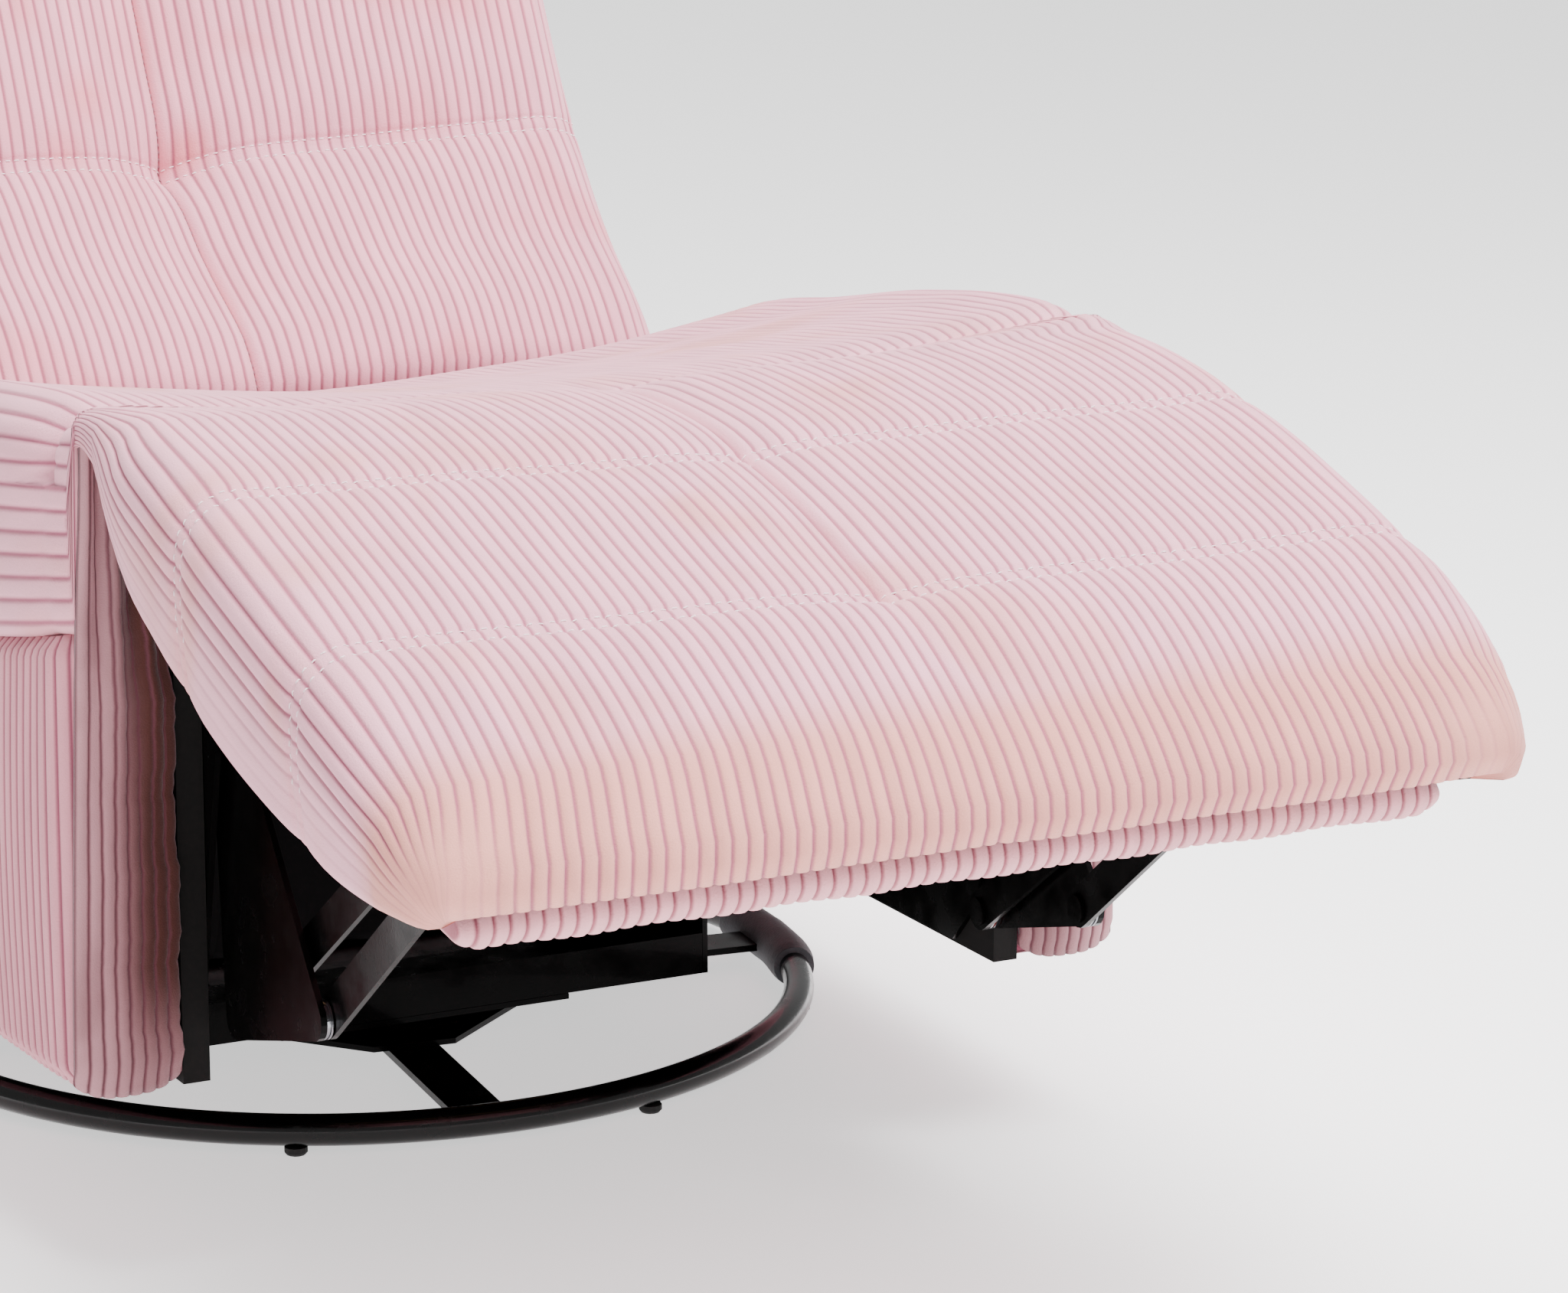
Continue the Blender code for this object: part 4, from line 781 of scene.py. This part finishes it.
grid = grid + facing * (WALE_HEIGHT * 1.1 * pile(across) + 0.0007 * front * np.sin(across * 71))[..., None]
border = border_of(grid)
centre = border.copy()
centre_share = np.clip((border[:, 1] - middle[0, 0]) / (middle[1, 0] - middle[0, 0]), 0, 1)
centre[:, 2] = middle[0, 1] + (middle[1, 1] - middle[0, 1]) * centre_share
weave = cloth_map(across, (share * flap_run)[:, None])
flap = cover("legrest_flap", grid, weave, centre[None], [flap_cloth], 1, "legrest")
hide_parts("legrest_board")

# ---------------------------------------------------------------------------------------------
# Back: a deep foam pad on the leaning frame, in upright wales. A felled seam crosses it, a narrow
# one runs up the middle, and where they meet the pad is drawn in by a tuft.
back_cloth = corduroy("back_corduroy", "E79EAE", "A4556A", "DF8289", 0.6)
BACK_FOOT, LEAN_LOW, LEAN_HIGH, LUMBAR = (0.150, 0.451), math.radians(50), math.radians(27), 0.33
BACK_LENGTH, BACK_HALF, PAD_DEPTH, SHELL_DEPTH = 0.660, 0.336, 0.097, 0.152
BACK_ROWS, TOP_COLUMNS, EDGE_COLUMNS = (0.198, 0.420), 30, 11
face_run = np.linspace(-0.06, BACK_LENGTH + 0.03, 1400)
face_lean = LEAN_LOW + (LEAN_HIGH - LEAN_LOW) * step(0.0, LUMBAR, face_run)
gain = np.diff(face_run, prepend=face_run[0])
face_y, face_z = np.cumsum(np.sin(face_lean) * gain), np.cumsum(np.cos(face_lean) * gain)
face_y += BACK_FOOT[0] - np.interp(0, face_run, face_y)
face_z += BACK_FOOT[1] - np.interp(0, face_run, face_z)


def back_place(s, depth):
    """Point s up the back's face and depth behind it, as (y, z): the face leans back by 50 degrees at
    the seat and by 27 above the lumbar bend."""
    angle = np.interp(s, face_run, face_lean)
    return (np.interp(s, face_run, face_y) + depth * np.cos(angle),
            np.interp(s, face_run, face_z) - depth * np.sin(angle))


def over_the_side(across, columns, edge_columns, half, corner, depth):
    """Cloth over a pad's face and down its side: flat for columns of wales, then a quarter circle of
    radius corner, then straight to depth. Gives x, the distance down, the distance past the flat, and
    the share of the flat part, from 0 in the middle to 1 at its edge."""
    side_path = corner * math.pi / 2 + depth - corner
    turn = np.clip((np.abs(across) / WALE - columns) / edge_columns, 0, 1) * side_path
    phi = np.clip(turn / corner, 0, math.pi / 2)
    down = np.where(turn < corner * math.pi / 2, corner * (1 - np.cos(phi)),
                    corner + turn - corner * math.pi / 2)
    t = np.clip(np.abs(across) / (columns * WALE), 0, 1)
    x = np.sign(across) * np.where(turn > 0, half - corner * (1 - np.sin(phi)), t * (half - corner))
    return x, down, turn, t


PAD_EDGE = [(0.006, 0.088), (-0.016, 0.066), (-0.026, 0.036), (-0.018, 0.010), (0.010, 0.000), (0.100, 0.000),
            (0.300, 0.000), (0.500, 0.000), (0.610, 0.004), (0.645, 0.022), (0.660, 0.052), (0.662, 0.088)]
edge_run = run_along(np.array(PAD_EDGE))[-1]
row_at = [s + float(run_along(np.array(PAD_EDGE))[4]) - 0.010 for s in BACK_ROWS]
v = np.unique(np.round(rows_for(edge_run, [place + gap for place in row_at for gap in ROW_EDGES]), 5))
path = path_at(PAD_EDGE, v)
ps, pd = path[:, :1], path[:, 1:]
across = wales(-TOP_COLUMNS - EDGE_COLUMNS, TOP_COLUMNS + EDGE_COLUMNS)[None]
depth = np.maximum(PAD_DEPTH - pd, 0.004)
corner = np.minimum(0.045, 0.6 * depth)
x, down, turn, t = over_the_side(across, TOP_COLUMNS, EDGE_COLUMNS, BACK_HALF, corner, depth)
run = v[:, None]
tall = np.clip((ps - 0.02) / 0.10, 0, 1)
panel = np.interp(v, [0, *row_at, edge_run], [0, 1, 2, 3])[:, None]
puff = np.sin(math.pi * np.mod(panel, 1.0)) ** 0.6
deep = 0.020 * (1 - t ** 2) * step(0.0, 0.30, ps)
deep = deep + 0.012 * bell(x, 0.055) * tall + 0.0050 * bell(across, 0.0040)
deep = deep - 0.012 * np.sin(math.pi * t) ** 0.8 * puff
for place in row_at:
    deep = deep + 0.0055 * bell(run - place, 0.024) * (turn <= corner)
    for gap in ROW_EDGES:
        deep = deep + 0.0017 * bell(run - place - gap, 0.0022)
    away = np.hypot(x, run - place)
    deep = deep + 0.014 * bell(away, 0.030) + 0.006 * bell(away, 0.011)
deep = deep + 0.0011 * np.sin(run * 41 + across * 13) * np.sin(run * 19 - across * 27)
fade = np.where(turn > 0, 1 - np.clip(down / corner, 0, 1), 1.0)
fade = fade * step(0.0, 0.05, run) * step(edge_run, edge_run - 0.05, run)
y, z = back_place(ps + 0 * x, np.minimum(pd + down + deep * fade, PAD_DEPTH))
grid = np.stack([x, y, z], -1)
facing = outward(grid, (0, -1, 0))
strip = sum(bell(run - place, 0.0065) for place in row_at)
grid = grid + facing * (WALE_HEIGHT * pile(across) * (1 - 0.45 * np.clip(strip, 0, 1)))[..., None]
# Where the pile is brushed the other way: each patch's x, its distance up the face, radius and depth.
PATCHES = ((-0.060, row_at[0] + 0.050, 0.020, 0.7), (-0.085, row_at[0] + 0.010, 0.020, 0.6),
           (0.020, row_at[0] + 0.012, 0.018, 0.8), (0.0, row_at[0] + 0.10, 0.05, 0.3),
           (0.0, row_at[1] + 0.02, 0.03, 0.6))
laid_pile_and_shade = np.zeros_like(x)
for patch_x, place, reach, laid in PATCHES:
    laid_pile_and_shade = np.maximum(laid_pile_and_shade, laid * bell(np.hypot(x - patch_x, run - place), reach))
border = border_of(grid)
spine = border * (0, 1, 1)
back_pad = cover("back_pad", grid, cloth_map(across, run), np.stack([border * 0.6 + spine * 0.4, spine]),
                 [back_cloth, cambric], 1, "back", laid_pile_and_shade)
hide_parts("back_cushion")
stitches("back_stitches", seam_lines(grid, facing, v, row_at, 30), thread, body="back")

# The narrow seam's thread is a darker rose and lies low between the wales.
dark_thread, _ = new_finish("rose_thread", "8F5F6C", 0.6, Sheen_Weight=0.2)
middle_column = grid.shape[1] // 2 + 1
middle_rows = (v > 0.05) & (v < edge_run - 0.06)
stitches("back_middle_stitches", [(grid[middle_rows, middle_column], facing[middle_rows, middle_column])],
         dark_thread, length=0.0032, pitch=0.0055, radius=0.0005, body="back")

# Outside back: corduroy drawn over a plywood shell, seamed to the pad round its edge.
SHELL_FACE, SHELL_HALF, SHELL_CORNER, SHELL_COLUMNS, SHELL_EDGE_COLUMNS = 0.100, 0.3265, 0.022, 31, 5
shell_edge = [(0.000, 0.150), (0.100, SHELL_DEPTH), (0.300, SHELL_DEPTH), (0.500, SHELL_DEPTH),
              (0.620, 0.151), (0.652, 0.142), (0.662, 0.120), (0.662, 0.1005)]
shell_run = run_along(np.array(shell_edge))[-1]
v = np.unique(np.concatenate([np.linspace(0, shell_run, 60), np.linspace(shell_run - 0.09, shell_run, 20)]))
path = path_at(shell_edge, v)
across = wales(-SHELL_COLUMNS - SHELL_EDGE_COLUMNS, SHELL_COLUMNS + SHELL_EDGE_COLUMNS)[None]
depth = np.maximum(path[:, 1:] - SHELL_FACE, 0.0005)
corner = np.minimum(SHELL_CORNER, 0.8 * depth)
x, down, _, _ = over_the_side(across, SHELL_COLUMNS, SHELL_EDGE_COLUMNS, SHELL_HALF, corner, depth)
y, z = back_place(path[:, :1] + 0 * x, path[:, 1:] - down)
grid = np.stack([x, y, z], -1)
grid = grid + outward(grid, (0, 1, 0)) * (WALE_HEIGHT * pile(across))[..., None]
border = border_of(grid)
spine = border * (0, 1, 1)
shell = cover("back_outside", grid, cloth_map(across, v[:, None]),
              np.stack([border * 0.6 + spine * 0.4, spine]), [side_cloth, cambric], 1, "back")
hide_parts("back_shell")

# Welt: a cord in a bias strip of the corduroy, sewn into the joint of the pad and the outside back
# along the top. It bends down a little at its ends, into the corners.
WELT_HALF, WELT_RADIUS, WELT_SIDES, WELT_AT = 0.3050, 0.0105, 24, BACK_LENGTH - 0.0010
WELT_STEPS, WELT_DROP, WELT_SINK = 121, 0.010, 0.0020
along = np.linspace(-1, 1, WELT_STEPS)[:, None]
turn = (np.arange(WELT_SIDES) * 2 * math.pi / WELT_SIDES)[None]
taper = np.sqrt(np.clip(1 - np.abs(along) ** 24, 0.02, 1))
cord_y, cord_z = back_place(WELT_AT - WELT_DROP * np.abs(along) ** 8, PAD_DEPTH - WELT_SINK)
circles = np.stack([WELT_HALF * along + 0 * turn, cord_y + WELT_RADIUS * taper * np.cos(turn),
                    cord_z + WELT_RADIUS * taper * np.sin(turn)], -1)
welt = band("back_welt", circles + (0, AXIS_Y, 0), side_cloth, "back", closed=False)
corner_of = np.empty(len(welt.data.loops), dtype=np.int32)
welt.data.loops.foreach_get("vertex_index", corner_of)
spots = cloth_map(WELT_HALF * along, turn * WELT_RADIUS).reshape(-1, 2)[corner_of]
welt.data.uv_layers.new(name="weave").data.foreach_set("uv", spots.ravel().astype(np.float32))

# Rear apron: a corduroy panel between the sides, under the back.
APRON_LOW, APRON_TOP, APRON_REAR, APRON_FRONT = 0.119, 0.262, 0.2650, 0.2465
APRON_WALES, APRON_ROWS, APRON_ROUND = 28, 28, 0.007
across = wales(-APRON_WALES, APRON_WALES)[None]
share = np.linspace(0, 1, APRON_ROWS)[:, None]
z = APRON_TOP + (APRON_LOW - APRON_TOP) * share
y = APRON_REAR - APRON_ROUND * (1 - np.sin(math.pi * share) ** 0.35)
grid = np.stack(np.broadcast_arrays(across, y, z), -1)
grid = grid + outward(grid, (0, 1, 0)) * (WALE_HEIGHT * pile(across))[..., None]
border = border_of(grid)
flat = border * (1, 0, 1) + (0, APRON_FRONT, 0)
middle = flat.copy()
middle[:, 2] = (APRON_LOW + APRON_TOP) / 2
apron = cover("rear_apron", grid, cloth_map(across, z), np.stack([flat, middle]), [side_cloth, cambric], 1,
              "seat")
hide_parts("rear_panel")

# ---------------------------------------------------------------------------------------------
# Release latch: cup and paddle moulded in black ABS, with a fine spark-eroded grain.
plastic = moulded("moulded_abs", "141417", 0.42, 700.0, 0.25, 0.0003)
paint(plastic, "latch_cup", "latch_paddle")

# Bezel: a frame of the same plastic over the cup's rim and the cut edge of the cloth. Its section is
# six points, each an inset from the frame's outline and a distance from the chair's middle.
BEZEL_SIDES, BEZEL_SQUARE = 160, 0.2
BEZEL_SECTION = ((-0.0012, 0.3862), (-0.0012, 0.3914), (0.0002, 0.3922), (0.0085, 0.3922), (0.0102, 0.3908),
                 (0.0102, 0.3862))
turn = np.arange(BEZEL_SIDES) * 2 * math.pi / BEZEL_SIDES
square_y = np.sign(np.cos(turn)) * np.abs(np.cos(turn)) ** BEZEL_SQUARE
square_z = np.sign(np.sin(turn)) * np.abs(np.sin(turn)) ** BEZEL_SQUARE
frames = np.stack([np.stack([np.full(BEZEL_SIDES, -reach),
                             LATCH_Y + AXIS_Y + (LATCH_HALF_Y + grow) * square_y,
                             LATCH_Z + (LATCH_HALF_Z + grow) * square_z], -1)
                   for grow, reach in BEZEL_SECTION])
bezel = band("latch_bezel", frames, plastic, "seat", smooth=False)

# ---------------------------------------------------------------------------------------------
# Camera, soft studio light and a plain pale floor.
YAW, PITCH, CAMERA_PLACE = math.radians(27.07), math.radians(13.65), (-1.531, -3.5265, 1.239)
SENSOR, LENS, CLIP_END = 36.0, 131.64, 60.0   # sensor and lens in mm, and how far the camera sees
camera_data = bpy.data.cameras.new("camera")
camera_data.sensor_width = SENSOR
camera_data.lens = LENS
camera_data.clip_end = CLIP_END
camera = bpy.data.objects.new("camera", camera_data)
camera.location = CAMERA_PLACE
camera.rotation_euler = (math.pi / 2 - PITCH, 0.0, -YAW)
bpy.context.scene.collection.objects.link(camera)
bpy.context.scene.camera = camera

world = bpy.data.worlds.new("studio")
world.use_nodes = True
sky = world.node_tree.nodes["Background"]
sky.inputs["Color"].default_value = linear("FFFFFF")
sky.inputs["Strength"].default_value = 0.55
bpy.context.scene.world = world

FLOOR_HALF = 14.0
floor_mesh = bpy.data.meshes.new("studio_floor")
floor_mesh.from_pydata([(FLOOR_HALF * x, FLOOR_HALF * y, 0) for x, y in ((-1, -1), (1, -1), (1, 1), (-1, 1))],
                       [], [(0, 1, 2, 3)])
floor_finish, _ = new_finish("studio_floor", "FDFDFD", 0.9, Specular_IOR_Level=0.0, Emission_Strength=0.95,
                             Emission_Color=linear("FFFFFF"))
floor_mesh.materials.append(floor_finish)
floor = bpy.data.objects.new("studio_floor", floor_mesh)
bpy.context.scene.collection.objects.link(floor)


def softbox(name, place, aim, size, power):
    """Square area light at place, turned to aim."""
    data = bpy.data.lights.new(name, "AREA")
    data.shape = "SQUARE"
    data.size = size
    data.energy = power
    lamp = bpy.data.objects.new(name, data)
    way = np.array(aim) - np.array(place)
    flat = math.hypot(way[0], way[1])
    lamp.location = place
    lamp.rotation_euler = (math.pi / 2 - math.atan2(-way[2], flat), 0.0, math.atan2(-way[0], way[1]))
    bpy.context.scene.collection.objects.link(lamp)


softbox("top_softbox", (0.6, -1.0, 3.6), (0.1, -0.2, 0.4), 3.0, 430.0)
softbox("front_softbox", (0.4, -3.6, 2.8), (0.0, -0.2, 0.5), 1.8, 60.0)
